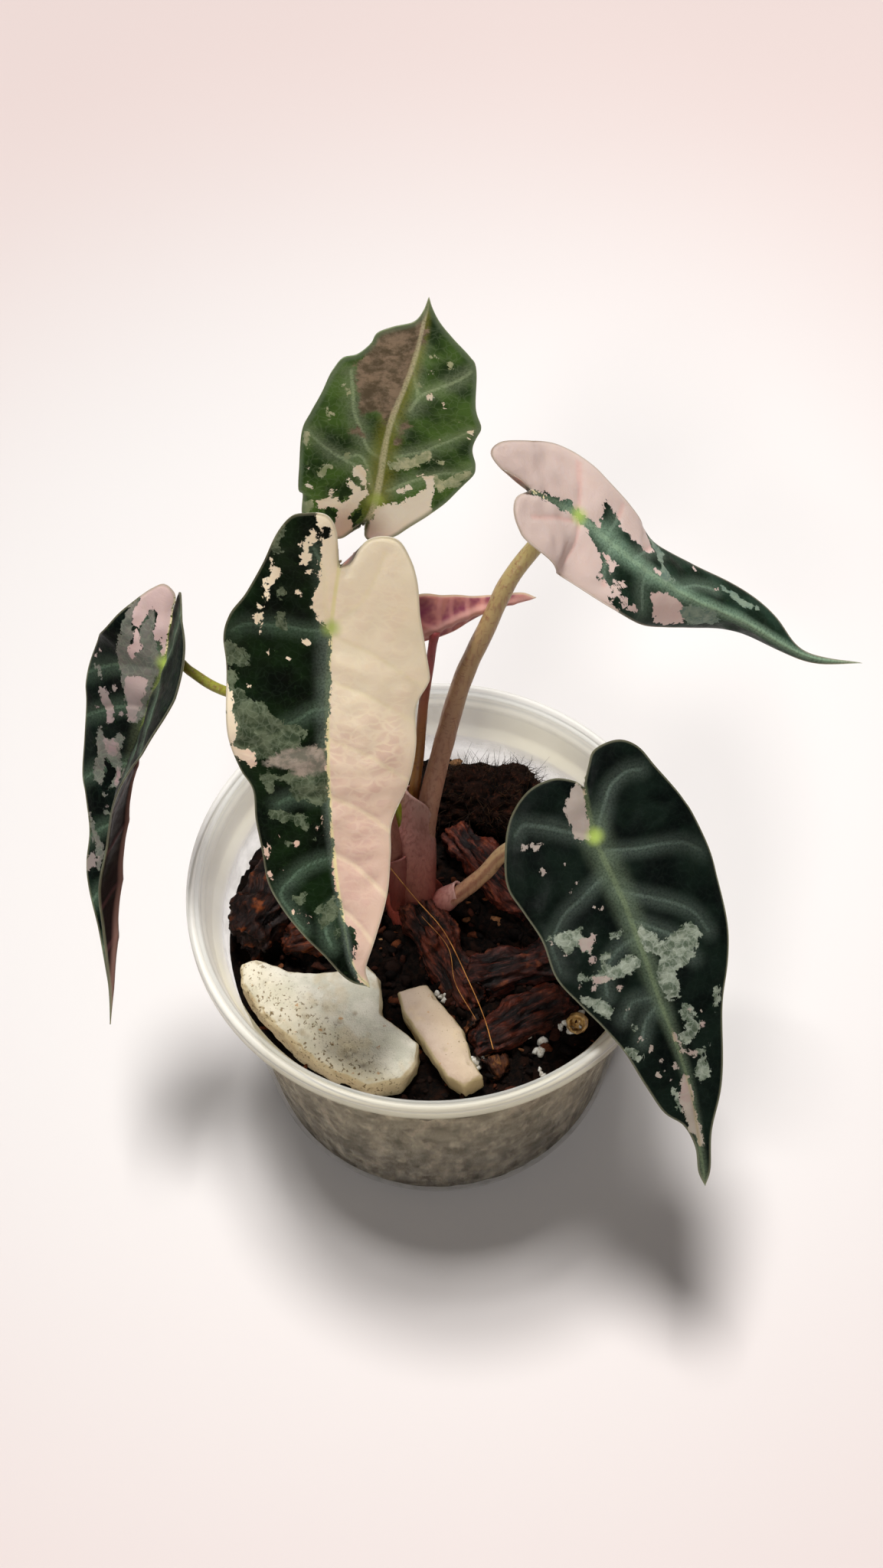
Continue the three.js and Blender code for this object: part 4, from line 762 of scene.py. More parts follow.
def through(points, at):
    """A smooth curve through points, at evenly spaced knots and between them"""
    points = np.asarray(points, float)
    knot = np.clip(np.floor(at).astype(int), 0, len(points) - 2)
    part = (at - knot)[:, None]
    padded = np.vstack([2 * points[0] - points[1], points, 2 * points[-1] - points[-2]])
    before, start, end, after = (padded[knot + k] for k in range(4))
    square = 2 * before - 5 * start + 4 * end - after
    cube = 3 * start - before - 3 * end + after
    return (2 * start + (end - before) * part + square * part**2 + cube * part**3) / 2


def between(knots, share):
    """A value between evenly spaced knots, smoothly"""
    return through(np.array(knots, float)[:, None], share * (len(knots) - 1))[:, 0]


class Path:
    """A smooth curve through points, followed by its length"""

    def __init__(self, points):
        self.points = np.asarray(points, float)
        self.knots = np.linspace(0, len(points) - 1, PATH_STEPS * (len(points) - 1) + 1)
        steps = np.linalg.norm(np.diff(through(self.points, self.knots), axis=0), axis=1)
        self.lengths = np.concatenate([[0], np.cumsum(steps)])
        self.total = self.lengths[-1]

    def at(self, length):
        """Points and ways forward at these lengths, straight on beyond the ends"""
        held = np.clip(length, 0, self.total)
        knot = np.interp(held, self.lengths, self.knots)
        near = 1e-3
        ahead = through(self.points, np.minimum(knot + near, self.knots[-1]))
        forward = unit(ahead - through(self.points, np.maximum(knot - near, 0)))
        return through(self.points, knot) + forward * (length - held)[:, None], forward

    def spaced(self, count):
        return self.at(np.linspace(0, self.total, count))[0]


def segment_distance(spots, line):
    """How far spots are from a line of points"""
    starts, ways = line[:-1], np.diff(line, axis=0)
    offset = spots[:, None] - starts[None]
    share = (offset * ways).sum(2) / np.maximum((ways**2).sum(1), 1e-9)
    return np.linalg.norm(offset - np.clip(share, 0, 1)[..., None] * ways, axis=2).min(1)


def inside_distance(spots, outline):
    """How far spots lie inside a closed outline, below zero outside it"""
    starts, ends = outline, np.roll(outline, -1, axis=0)
    height = spots[:, 1:]
    crosses = (starts[:, 1] > height) != (ends[:, 1] > height)
    rise = np.where(ends[:, 1] == starts[:, 1], 1e-9, ends[:, 1] - starts[:, 1])
    meets = starts[:, 0] + (ends[:, 0] - starts[:, 0]) * (height - starts[:, 1]) / rise
    inside = (crosses & (spots[:, :1] < meets)).sum(1) % 2 == 1
    near = segment_distance(spots, np.vstack([outline, outline[:1]]))
    return np.where(inside, near, -near)


def field(points, size, seed, waves=18):
    """A smooth random value at each point, about -1 to 1, whose lumps have this size"""
    random = np.random.default_rng(seed)
    points = np.asarray(points, float)
    ways = unit(random.normal(size=(waves, points.shape[1])))
    pace = 2 * math.pi / size * random.uniform(0.55, 1.1, waves)
    phase = random.uniform(0, 2 * math.pi, waves)
    return np.sin(points @ (ways * pace[:, None]).T + phase).sum(1) / math.sqrt(waves)


def smoothstep(value, low, high):
    part = np.clip((value - low) / (high - low), 0, 1)
    return part * part * (3 - 2 * part)


def turns(sides):
    """Evenly spaced angles all the way round"""
    return np.linspace(0, 2 * math.pi, sides, endpoint=False)


def added(name, data):
    """A new object of this data, in the scene"""
    made = bpy.data.objects.new(name, data)
    bpy.context.scene.collection.objects.link(made)
    return made


class Form:
    """Faces gathered for one piece, with values at their points"""

    def __init__(self):
        self.points, self.faces, self.finish, self.marks, self.count = [], [], [], [], 0

    def add(self, points, faces, finish=0, **marks):
        points = np.asarray(points, float).reshape(-1, 3)
        self.join(np.asarray(faces, int) + self.count, finish)
        self.points.append(points)
        self.marks.append({key: np.broadcast_to(value, len(points)) for key, value in marks.items()})
        self.count += len(points)

    def join(self, faces, finish=0):
        """Faces between points that are already there"""
        self.faces.extend(np.asarray(faces, int).tolist())
        self.finish.extend([finish] * len(faces))

    def piece(self, name, slot, materials, replaced=()):
        """The piece itself, in metres, welded, on the one body"""
        mesh = bpy.data.meshes.new(name)
        mesh.from_pydata((np.vstack(self.points) * MM).tolist(), [], self.faces)
        for material in materials:
            mesh.materials.append(material)
        mesh.polygons.foreach_set("material_index", self.finish)
        mesh.polygons.foreach_set("use_smooth", [True] * len(self.faces))
        for key in sorted(self.marks[0]):
            values = np.concatenate([marks[key] for marks in self.marks])
            mesh.attributes.new(key, "FLOAT", "POINT").data.foreach_set("value", values.astype(np.float32))
        work = bmesh.new()
        work.from_mesh(mesh)
        bmesh.ops.remove_doubles(work, verts=work.verts, dist=2e-6)
        bmesh.ops.dissolve_degenerate(work, edges=work.edges, dist=1e-7)
        work.to_mesh(mesh)
        work.free()
        piece = added(name, mesh)
        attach(piece, "root")
        if replaced:
            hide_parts(*replaced)


def grid_faces(rows, columns, round_columns=False, flipped=False):
    """Quads of a grid of points, given row by row"""
    row, column = np.mgrid[0 : rows - 1, 0 : columns if round_columns else columns - 1]
    start = (row * columns + column).ravel()
    side = (row * columns + (column + 1) % columns).ravel()
    quads = np.stack([start, side, side + columns, start + columns], 1)
    return quads[:, ::-1] if flipped else quads


def lathe(form, profile, sides, **marks):
    """Turns points [radius, height] round the upright axis, from the outside of the foot upwards"""
    profile = np.asarray(profile, float)
    angle = turns(sides)
    radius, height = profile[:, :1], profile[:, 1:]
    rings = np.stack([radius * np.cos(angle), radius * np.sin(angle), height + 0 * angle], 2)
    form.add(rings, grid_faces(len(profile), sides, True), **marks)


def across_frames(forward):
    """Two ways square to a path at each of its points, turning as little as they can"""
    side = np.cross(forward[0], [0.31, 0.17, 0.93])
    sides = []
    for way in forward:
        side = unit(side - way * (side @ way))
        sides.append(side)
    sides = np.array(sides)
    return sides, np.cross(forward, sides)


def tube(form, points, radii, sides, squash=1):
    """A closed tube along points, with a radius at each of them"""
    points = np.asarray(points, float)
    first, second = across_frames(unit(np.gradient(points, axis=0)))
    angle = turns(sides)[:, None]
    ring = first[:, None] * np.cos(angle) + squash * second[:, None] * np.sin(angle)
    rings = points[:, None] + np.asarray(radii, float)[:, None, None] * ring
    rings = np.concatenate([points[:1, None] + 0 * rings[:1], rings, points[-1:, None] + 0 * rings[:1]])
    run = np.repeat(np.concatenate([[0], np.linspace(0, 1, len(points)), [1]]), sides)
    turn = np.tile(np.abs(np.linspace(-1, 1, sides, endpoint=False)), len(rings))
    form.add(rings, grid_faces(len(rings), sides, True), run=run, turn=turn)


def view_axes():
    """The camera's ways right, up and back"""
    back = np.array([0, -math.cos(VIEW_ELEVATION), math.sin(VIEW_ELEVATION)])
    level = unit(np.cross(-back, [0, 0, 1]))
    upright = np.cross(level, -back)
    cosine, sine = math.cos(VIEW_ROLL), math.sin(VIEW_ROLL)
    return cosine * level + sine * upright, cosine * upright - sine * level, back


def pixels_of(points):
    """Where the camera sees points given in millimetres"""
    right, above, back = view_axes()
    offset = points - (VIEW_TARGET + back * VIEW_DISTANCE)
    depth = -(offset @ back)
    across = PHOTO_WIDTH / 2 + FOCAL_PIXELS * (offset @ right) / depth
    down = PHOTO_HEIGHT / 2 - FOCAL_PIXELS * (offset @ above) / depth
    return np.stack([across, down], 1)


class Blade:
    """A folded, curled and waved blade: a point of it is given by how far it is across and along"""

    def __init__(self, leaf):
        self.leaf = leaf
        self.path = Path(leaf["spine"])
        self.behind = self.path.lengths[PATH_STEPS]
        self.length = self.path.total - self.behind
        starboard = leaf["starboard"]["outline"] or leaf["port"]["outline"]
        self.outlines = {PORT: np.array(leaf["port"]["outline"]), STARBOARD: np.array(starboard)}

    def frames(self, along):
        """Points of the midrib, with the ways up and to port"""
        point, forward = self.path.at(along + self.behind)
        share = np.clip(along / self.length, 0, 1)[:, None]
        start, end = np.array(self.leaf["face"], float)
        up = start + (end - start) * share
        up = unit(up - (up * forward).sum(1, keepdims=True) * forward)
        return point, up, np.cross(up, forward)

    def bend(self, key, across, along):
        """An angle of the half that each point is on"""
        share = np.clip(along / self.length, 0, 1)
        port, starboard = (between(self.leaf[half][key], share) for half in ("port", "starboard"))
        return np.radians(np.where(across < 0, starboard, port))

    def at(self, across, along):
        """Points in space, where across is above zero on the port half"""
        point, up, port = self.frames(along)
        side = np.where(across < 0, STARBOARD, PORT)
        fold = self.bend("fold", across, along)
        curl = self.bend("curl", across, along) / CURL_WIDTH + 1e-7
        reach = np.abs(across)
        out = (np.sin(fold + curl * reach) - np.sin(fold)) / curl
        rise = (np.cos(fold) - np.cos(fold + curl * reach)) / curl
        height, wavelength, phase = self.leaf["wave"]
        turn = 2 * math.pi * along / wavelength + phase + np.where(across < 0, WAVE_LAG, 0)
        rise = rise + height * np.sin(turn) * (reach / CURL_WIDTH) ** 2
        return point + (side * out)[:, None] * port + rise[:, None] * up

    def grid(self):
        """Across and along of the piece's points, in rows from the notch to the tip"""
        rows = np.linspace(0, 1, BLADE_ROWS + 1)
        notch, tip = self.outlines[PORT][[0, -1], 1]
        rib = (notch + (tip - notch) * rows**2)[:, None]
        share = np.linspace(0, 1, HALF_BLADE_COLUMNS + 1)
        halves = []
        for side, outline in self.outlines.items():
            edge = Path(outline).spaced(BLADE_ROWS + 1)
            halves.append(np.stack([side * edge[:, :1] * share, rib + (edge[:, 1:] - rib) * share], 2))
        return np.concatenate([halves[1][:, :0:-1], halves[0]], 1)

    def traced(self, half, pixels):
        """Where photo pixels fall on the blade, sooner on the half that is named than on the other"""
        spots, costs = [], []
        beside, behind, beyond = TRACE_MARGINS
        for side, outline in self.outlines.items():
            reach = np.arange(0.01, outline[:, 0].max() + beside, TRACE_STEP)
            ways = np.arange(outline[:, 1].min() - behind, outline[:, 1].max() + beyond, TRACE_STEP)
            spots.append(np.stack([part.ravel() for part in np.meshgrid(side * reach, ways)], 1))
            costs.append(np.full(len(spots[-1]), OTHER_HALF_COST if half == -side else 0))
        spots, costs = np.concatenate(spots), np.concatenate(costs)
        seen = pixels_of(self.at(spots[:, 0], spots[:, 1]))
        wanted = np.reshape(pixels, (-1, 2))
        return spots[[(np.linalg.norm(seen - pixel, axis=1) + costs).argmin() for pixel in wanted]]


def ruled_veins(blade, half):
    """Lateral veins where the photo doesn't show them: out from the midrib and towards the tip"""
    widest = blade.outlines[half][:, 0].max()
    lobe = blade.outlines[half][:, 1].min()
    lines = [[[0, 0], [0.28 * widest, 0.35 * lobe], [0.42 * widest, 0.85 * lobe]]]
    rise = 0.13 * blade.length
    for start, share in RULED_VEINS:
        foot, reach = start * blade.length, share * widest
        lines.append([[0, foot], [0.45 * reach, foot + 0.3 * rise], [reach, foot + rise]])
    return [Path(np.array(line) * [half, 1]).spaced(12) for line in lines]


def blade_marks(blade, name, spots):
    """Values that the finish is made of, at each spot [across, along] of the blade"""
    marks = {"across": spots[:, 0], "along": spots[:, 1]}
    edge = [Path(outline * [side, 1]).spaced(120) for side, outline in blade.outlines.items()]
    marks["margin"] = np.minimum(*(segment_distance(spots, line) for line in edge))
    traced = MARKINGS.get(name, {})
    for kind in ("pale", "grey", "dark", "veil"):
        marks[kind] = np.full(len(spots), -BLANK)
        for half, pixels, *beyond in traced.get(kind, []):
            outline = np.vstack([blade.traced(half, pixels), np.reshape(beyond, (-1, 2))])
            marks[kind] = np.maximum(marks[kind], inside_distance(spots, outline))
    specks = np.reshape(traced.get("specks", []), (-1, 3))
    for centre, radius in zip(blade.traced(0, specks[:, :2]), specks[:, 2] / PIXELS_PER_MM):
        marks["pale"] = np.maximum(marks["pale"], radius - np.linalg.norm(spots - centre, axis=1))
    lines = [Path(blade.traced(0, line)).spaced(16) for line in traced.get("veins", [])]
    for half in VEINS_BY_RULE[name]:
        lines += ruled_veins(blade, half)
    marks["vein"] = np.min([segment_distance(spots, line) for line in lines], axis=0)
    return marks


def grid_normals(points):
    """The way out of one face at each point of a grid"""
    across, down = np.gradient(points, axis=1), np.gradient(points, axis=0)
    ways = np.cross(down, across)
    ways[0], ways[-1] = ways[1].sum(0), ways[-2].sum(0)
    return unit(ways + 1e-12)


def make_blade(name, leaf, material, underside):
    """The blade's upper face and underside, pillowed between the veins, and its rim"""
    blade = Blade(leaf)
    grid = blade.grid()
    rows, columns = grid.shape[:2]
    spots = grid.reshape(-1, 2)
    middle = blade.at(spots[:, 0], spots[:, 1])
    marks = blade_marks(blade, name, spots)
    normals = grid_normals(middle.reshape(rows, columns, 3)).reshape(-1, 3)
    turned = int(np.sign((normals * blade.frames(spots[:, 1])[1]).sum()))
    normals *= turned
    rib_width = 0.5 + 0.9 * np.clip(1 - spots[:, 1] / blade.length, 0, 1)
    rib = np.exp(-((spots[:, 0] / rib_width) ** 2)) * smoothstep(blade.length - spots[:, 1], 0, 20)
    inner = smoothstep(marks["margin"], 0.2, 3)
    vein = VEIN_DEPTH * np.exp(-((marks["vein"] / VEIN_WIDTH) ** 2)) * inner
    pucker = PUCKER * smoothstep(marks["vein"], 0.4, 5) * inner
    relief = pucker + 0.12 * inner * field(spots, 5, 7) - RIB_DEPTHS[0] * rib - vein
    half = (EDGE_THICKNESS + (BLADE_THICKNESS - EDGE_THICKNESS) * smoothstep(marks["margin"], 0, 1)) / 2
    upper = middle + normals * (half + relief)[:, None]
    lower = middle - normals * (half - pucker + RIB_DEPTHS[1] * rib + vein)[:, None]
    form = Form()
    form.add(upper, grid_faces(rows, columns, flipped=turned > 0), 0, **marks)
    form.add(lower, grid_faces(rows, columns, flipped=turned < 0), 1, **marks)
    starts = np.arange(rows) * columns
    rim = np.concatenate([starts, (starts + columns - 1)[::-1]])
    ahead, across = np.roll(rim, -1), rows * columns
    form.join(np.stack([rim, ahead, ahead + across, rim + across], 1)[:, ::turned])
    form.piece("leaf_" + name, "blade", [material, underside], ["blade_" + name])


def colour(text):
    """A written colour as the linear values that the shader takes"""
    parts = [int(text[k : k + 2], 16) / 255 for k in (1, 3, 5)]
    return [p / 12.92 if p <= 0.04045 else ((p + 0.055) / 1.055) ** 2.4 for p in parts] + [1]


class Finish:
    """The nodes of one material: each call adds a node and gives its output back"""

    def __init__(self, name):
        self.material = bpy.data.materials.new(name)
        self.material.use_nodes = True
        self.nodes = self.material.node_tree.nodes
        self.links = self.material.node_tree.links
        self.nodes.clear()
        self.place = self.node("ShaderNodeTexCoord").outputs["Object"]

    def node(self, kind, **settings):
        made = self.nodes.new(kind)
        for key, value in settings.items():
            setattr(made, key, value)
        return made

    def put(self, socket, value):
        if isinstance(value, bpy.types.NodeSocket):
            self.links.new(value, socket)
        elif isinstance(value, str):
            socket.default_value = colour(value)
        else:
            socket.default_value = value

    def filled(self, made, *values):
        """A node with these values in its first sockets"""
        for socket, value in zip(made.inputs, values):
            self.put(socket, value)
        return made

    def mark(self, name):
        return self.node("ShaderNodeAttribute", attribute_name=name).outputs["Fac"]

    def math(self, operation, *values):
        return self.filled(self.node("ShaderNodeMath", operation=operation), *values).outputs[0]

    def plus(self, first, second):
        return self.math("ADD", first, second)

    def times(self, *values):
        made = values[0]
        for value in values[1:]:
            made = self.math("MULTIPLY", made, value)
        return made

    def step(self, value, low, high, start=0.0, end=1.0):
        """start where value is low, end where it is high, and smoothly between"""
        made = self.node("ShaderNodeMapRange", interpolation_type="SMOOTHSTEP")
        return self.filled(made, value, low, high, start, end).outputs[0]

    def mix(self, share, first, second):
        made = self.node("ShaderNodeMix", data_type="RGBA")
        for number, value in ((0, share), (6, first), (7, second)):
            self.put(made.inputs[number], value)
        return made.outputs[2]

    def texture(self, kind, size, place, **settings):
        """A pattern whose lumps have this size: in millimetres, or in the units of the place that is given"""
        made = self.node(kind, **settings)
        self.put(made.inputs["Vector"], place or self.place)
        made.inputs["Scale"].default_value = 1 / size / (1 if place else MM)
        return made

    def noise(self, size, detail=3, roughness=0.55, place=None):
        """Noise from about 0.3 to 0.7"""
        made = self.texture("ShaderNodeTexNoise", size, place)
        made.inputs["Detail"].default_value = detail
        made.inputs["Roughness"].default_value = roughness
        return made.outputs["Fac"]

    def net(self, size, place, low, high):
        """1 on the borders of rounded cells, 0 inside them"""
        cells = self.texture("ShaderNodeTexVoronoi", size, place, feature="DISTANCE_TO_EDGE")
        return self.step(cells.outputs["Distance"], low, high, 1, 0)

    def patches(self, size, place):
        """A random value, the same all over each angular cell"""
        return self.split(self.texture("ShaderNodeTexVoronoi", size, place).outputs["Color"])[0]

    def stain(self, shade, tone, size, low, high, most=1.0, detail=3, roughness=0.55, place=None):
        """The shade, turned to another tone where noise of this size goes from low to high"""
        share = self.step(self.noise(size, detail, roughness, place), low, high, 0, most)
        return self.mix(share, shade, tone)

    def ramp(self, value, stops):
        made = self.node("ShaderNodeValToRGB")
        elements = made.color_ramp.elements
        while len(elements) < len(stops):
            elements.new(0.5)
        for element, (position, shade) in zip(elements, stops):
            element.position = position
            element.color = colour(shade)
        return self.filled(made, value).outputs[0]

    def joined(self, *values):
        return self.filled(self.node("ShaderNodeCombineXYZ"), *values).outputs[0]

    def split(self, vector):
        return self.filled(self.node("ShaderNodeSeparateXYZ"), vector).outputs

    def scaled_place(self, *shares):
        """The place with its x, y and z multiplied by these, for patterns that are drawn out"""
        axes = self.split(self.place)
        return self.joined(*(self.times(axis, share) for axis, share in zip(axes, shares)))

    def streaks(self, *shares):
        """Fine noise, drawn out along each axis whose share is small"""
        return self.noise(1 / STREAKS, 3, 0.5, self.scaled_place(*shares))

    def bump(self, height, depth):
        """Relief from a height of 0 to 1, this deep in millimetres"""
        made = self.node("ShaderNodeBump")
        made.inputs["Distance"].default_value = depth * MM
        self.put(made.inputs["Height"], height)
        return made.outputs[0]

    def done(self, shade, roughness, relief=None, **constants):
        """Closes the material with its surface"""
        surface = self.node("ShaderNodeBsdfPrincipled")
        self.put(surface.inputs["Base Color"], shade)
        self.put(surface.inputs["Roughness"], roughness)
        if relief is not None:
            self.put(surface.inputs["Normal"], relief)
        for key, value in constants.items():
            self.put(surface.inputs[key.replace("_", " ")], value)
        self.links.new(surface.outputs[0], self.node("ShaderNodeOutputMaterial").inputs[0])
        return self.material

    def leaf_done(self, shade, roughness, relief, gloss):
        """Closes a leaf's material, in which light spreads"""
        return self.done(shade, roughness, relief, Specular_IOR_Level=gloss, Subsurface_Weight=0.6,
                         Subsurface_Radius=LEAF_SCATTER, Subsurface_Scale=MM)

    def stalk_done(self, shade, roughness, relief):
        return self.done(shade, roughness, relief, Subsurface_Weight=0.08, Subsurface_Scale=STALK_SCATTER)


class UpperFace(Finish):
    """The finish of a blade's upper face, whose patterns lie flat on the blade, in millimetres"""

    def __init__(self, name, shades):
        super().__init__("upper_" + name)
        self.shades = shades
        self.along = self.mark("along")
        self.across = self.math("ABSOLUTE", self.mark("across"))
        self.flat = self.joined(self.mark("across"), self.along, 0.0)
        self.broad = self.noise(9, 3, 0.5, self.flat)
        self.grainy = self.step(self.noise(0.5, 4, 0.7, self.flat), 0.3, 0.62, 0.4, 1)
        drift = [
            self.math("MULTIPLY_ADD", self.noise(size, 2, 0.5, self.flat), 2.6, self.mark(way))
            for size, way in ((2.5, "across"), (3.1, "along"))
        ]
        self.wander = self.joined(*drift, 0.0)
        self.fine_net = self.net(1.7, self.wander, 0, 0.1)
        jagged = self.plus(self.patches(1.5, self.flat), self.times(self.patches(0.6, self.flat), 0.6))
        jagged = self.plus(jagged, self.noise(0.8, 4, 0.7, self.flat))
        self.jagged = self.math("MULTIPLY_ADD", jagged, EDGE_ROUGHNESS, -1.3 * EDGE_ROUGHNESS)

    def patch(self, kind, soft):
        """Where the traced patches of one kind are, with a ragged edge"""
        return self.step(self.plus(self.mark(kind), self.jagged), -soft, soft)

    def green(self):
        """The dark ground with its flecks, silver veins and the light band along the midrib"""
        shades = self.shades
        shade = self.mix(self.step(self.broad, 0.36, 0.64), shades["dark"], shades["green"])
        shade = self.stain(shade, shades["fleck"], 1.3, 0.56, 0.74, 0.6, 5, 0.75, self.flat)
        shade = self.mix(self.times(self.fine_net, shades["net"]), shade, shades["vein"])
        line = self.step(self.mark("vein"), 0.1, 0.6, shades["vein_strength"], 0)
        line = self.plus(line, self.step(self.mark("vein"), 0, 3.6, shades["vein_strength"], 0))
        vein = self.times(line, self.grainy, self.step(self.across, 2, 26, 1, 0.45))
        shade = self.mix(vein, shade, shades["vein"])
        reach = self.math("DIVIDE", self.across, self.step(self.along, -5, 70, *shades["band_width"]))
        band = self.step(reach, 0, 1, shades["band_strength"], 0)
        band = self.times(band, self.grainy, self.step(self.along, -9, -1))
        return self.mix(band, shade, shades["band"])

    def grey(self):
        """Grey-green with a light net and light grains"""
        light = self.shades["grey_light"]
        shade = self.stain(*self.shades["grey"], 3, 0.38, 0.62, 1, 4, 0.65, self.flat)
        shade = self.mix(self.times(self.fine_net, 0.22), shade, light)
        return self.stain(shade, light, 1.2, 0.6, 0.72, 0.5, 4, 0.7, self.flat)

    def pale(self):
        """Cream to pink, with a blush between fine threads and lighter veins"""
        shades = self.shades
        threads = self.joined(self.times(self.split(self.wander)[0], 0.55), self.split(self.wander)[1], 0.0)
        threads = self.net(1.9, threads, 0.02, 0.2)
        inner = self.times(self.step(self.mark("margin"), 0.8, 4.5), self.step(self.along, 8, 34, 0.25, 1))
        inner = self.times(inner, self.step(self.broad, 0.36, 0.6, 0.35, 1))
        tint = self.times(self.math("SUBTRACT", 1.0, self.times(threads, 0.8)), inner)
        shade = self.mix(self.step(self.along, *shades["pale_span"]), *shades["pale"])
        shade = self.mix(self.times(tint, shades["blush_share"]), shade, shades["blush"])
        shade = self.mix(self.step(self.mark("vein"), 0.1, 0.9, 0.4, 0), shade, shades["pale_vein"])
        return self.mix(self.step(self.across, 0.15, 0.7, 0.8, 0), shade, shades["pale_rib"])


def upper_face(name, shades):
    """Dark green with silver veins, over it the patches that have lost their green"""
    f = UpperFace(name, shades)
    shade = f.mix(f.patch("grey", 0.12), f.green(), f.grey())
    veil = f.stain(*shades["veil"], 4, 0.38, 0.62, 1, 5, 0.7, f.flat)
    shade = f.mix(f.patch("veil", 0.6), shade, veil)
    width = f.step(f.along, -5, 75, 0.8, 0.4)
    rib = f.step(f.math("DIVIDE", f.across, width), 0.4, 1.3, shades["rib_strength"], 0)
    shade = f.mix(f.times(rib, f.grainy), shade, shades["rib"])
    shade = f.mix(f.patch("pale", 0.1), shade, f.pale())
    shade = f.mix(f.patch("dark", 0.15), shade, shades["dark"])
    squares = [f.math("POWER", way, 2.0) for way in (f.across, f.along)]
    from_stalk = f.math("POWER", f.plus(*squares), 0.5)
    shade = f.mix(f.step(from_stalk, 0.2, 3.0, 0.75, 0), shade, shades["lime"])
    edge = f.step(f.mark("margin"), 0.15, shades["edge_width"], shades["edge_strength"], 0)
    shade = f.mix(edge, shade, shades["edge"])
    rough = f.step(f.noise(1.5, 3, 0.6, f.flat), 0.35, 0.7, shades["gloss"], shades["gloss"] + 0.16)
    return f.leaf_done(shade, rough, f.bump(f.noise(0.6, 3, 0.6, f.flat), 0.08), 0.05)


def under_face(name, shades):
    """The underside: wine red with paler veins, pink where the upper face is pale"""
    f = Finish("under_" + name)
    flat = f.joined(f.mark("across"), f.mark("along"), 0.0)
    shade = f.stain(*shades["under"], 7, 0.35, 0.65, 1, 3, 0.6, flat)
    shade = f.mix(f.step(f.mark("pale"), -0.4, 0.4), shade, shades["under_pale"])
    rib = f.step(f.math("ABSOLUTE", f.mark("across")), 0.5, 1.8, 0.85, 0)
    shade = f.mix(f.step(f.mark("vein"), 0.2, 1, 0.6, 0), shade, shades["under_vein"])
    shade = f.mix(rib, shade, shades["under_rib"])
    shade = f.mix(f.step(f.mark("margin"), 0.2, 0.7, 0.7, 0), shade, shades["edge"])
    rough = f.step(f.noise(2, 3, 0.6, flat), 0.3, 0.7, 0.4, 0.55)
    return f.leaf_done(shade, rough, f.bump(f.noise(0.5, 3, 0.6, flat), 0.06), 0.15)


def stalk_finish(name, shades):
    """Colour that changes from the crown to the blade, with fine streaks and short cross marks, and a dark
    line of painted shade along one side, where the stalk's groove would be
    """
    f = Finish("stalk_" + name)
    streak = f.step(f.streaks(1, 1, 0.09), 0.45, 0.7)
    shade = f.mix(f.times(streak, 0.4), f.ramp(f.mark("run"), shades), "#7c4038")
    # Painted shade: a dark line along one side of the stalk, standing for the shade in its groove
    shade = f.mix(f.times(f.step(f.mark("turn"), 0.84, 0.97), 0.55), shade, "#6f3428")
    dash = f.step(f.streaks(0.4, 0.4, 1.6), 0.6, 0.68)
    shade = f.mix(f.times(dash, 0.42), shade, "#6d3a30")
    return f.stalk_done(shade, 0.42, f.bump(streak, 0.05))


def sheath_finish():
    f = Finish("sheath")
    run = f.mark("run")
    shade = f.mix(f.mark("tone"), f.ramp(run, MAROON_SHEATH), f.ramp(run, PINK_SHEATH))
    streak = f.step(f.streaks(1, 1, 0.07), 0.4, 0.7)
    shade = f.mix(f.times(streak, 0.35), shade, "#7a3a34")
    return f.stalk_done(shade, 0.5, f.bump(streak, 0.08))


def soil_finish():
    """Dark potting mix. Its side, behind the plastic, shows pale smears and crumbs pressed flat."""
    f = Finish("soil")
    dark = f.stain("#050302", "#170c07", 1.6, 0.4, 0.62, 1, 4, 0.7)
    dark = f.stain(dark, "#28140b", 4, 0.55, 0.68, 0.5)
    upright = f.scaled_place(1, 1, 0.42)
    side = f.stain("#453b30", "#7a6e5e", 7 * MM, 0.38, 0.62, 1, 3, 0.6, upright)
    side = f.stain(side, "#1a150f", 2.4 * MM, 0.4, 0.68, 0.85, 3, 0.6, upright)
    side = f.stain(side, "#b8ad9b", 3.4 * MM, 0.46, 0.76, 0.75, 4, 0.6, upright)
    shade = f.mix(f.mark("side"), dark, side)
    return f.done(shade, 0.9, f.bump(f.noise(0.8, 5, 0.7), 0.5), Specular_IOR_Level=0.1)


def crumb_finish():
    f = Finish("crumb")
    shade = f.stain(f.ramp(f.mark("tone"), CRUMB_SHADES), "#120805", 0.7, 0.4, 0.7, 0.6, 4, 0.7)
    return f.done(shade, 0.85, f.bump(f.noise(0.5, 4, 0.7), 0.25), Specular_IOR_Level=0.12)


def perlite_finish():
    f = Finish("perlite")
    shade = f.stain("#e6e3da", "#b9b0a2", 0.9, 0.42, 0.62, 1, 4, 0.7)
    shade = f.stain(shade, "#6f5a48", 1.6, 0.62, 0.7, 1, 3, 0.6)
    return f.done(shade, 0.8, f.bump(f.noise(0.4, 4, 0.7), 0.2))


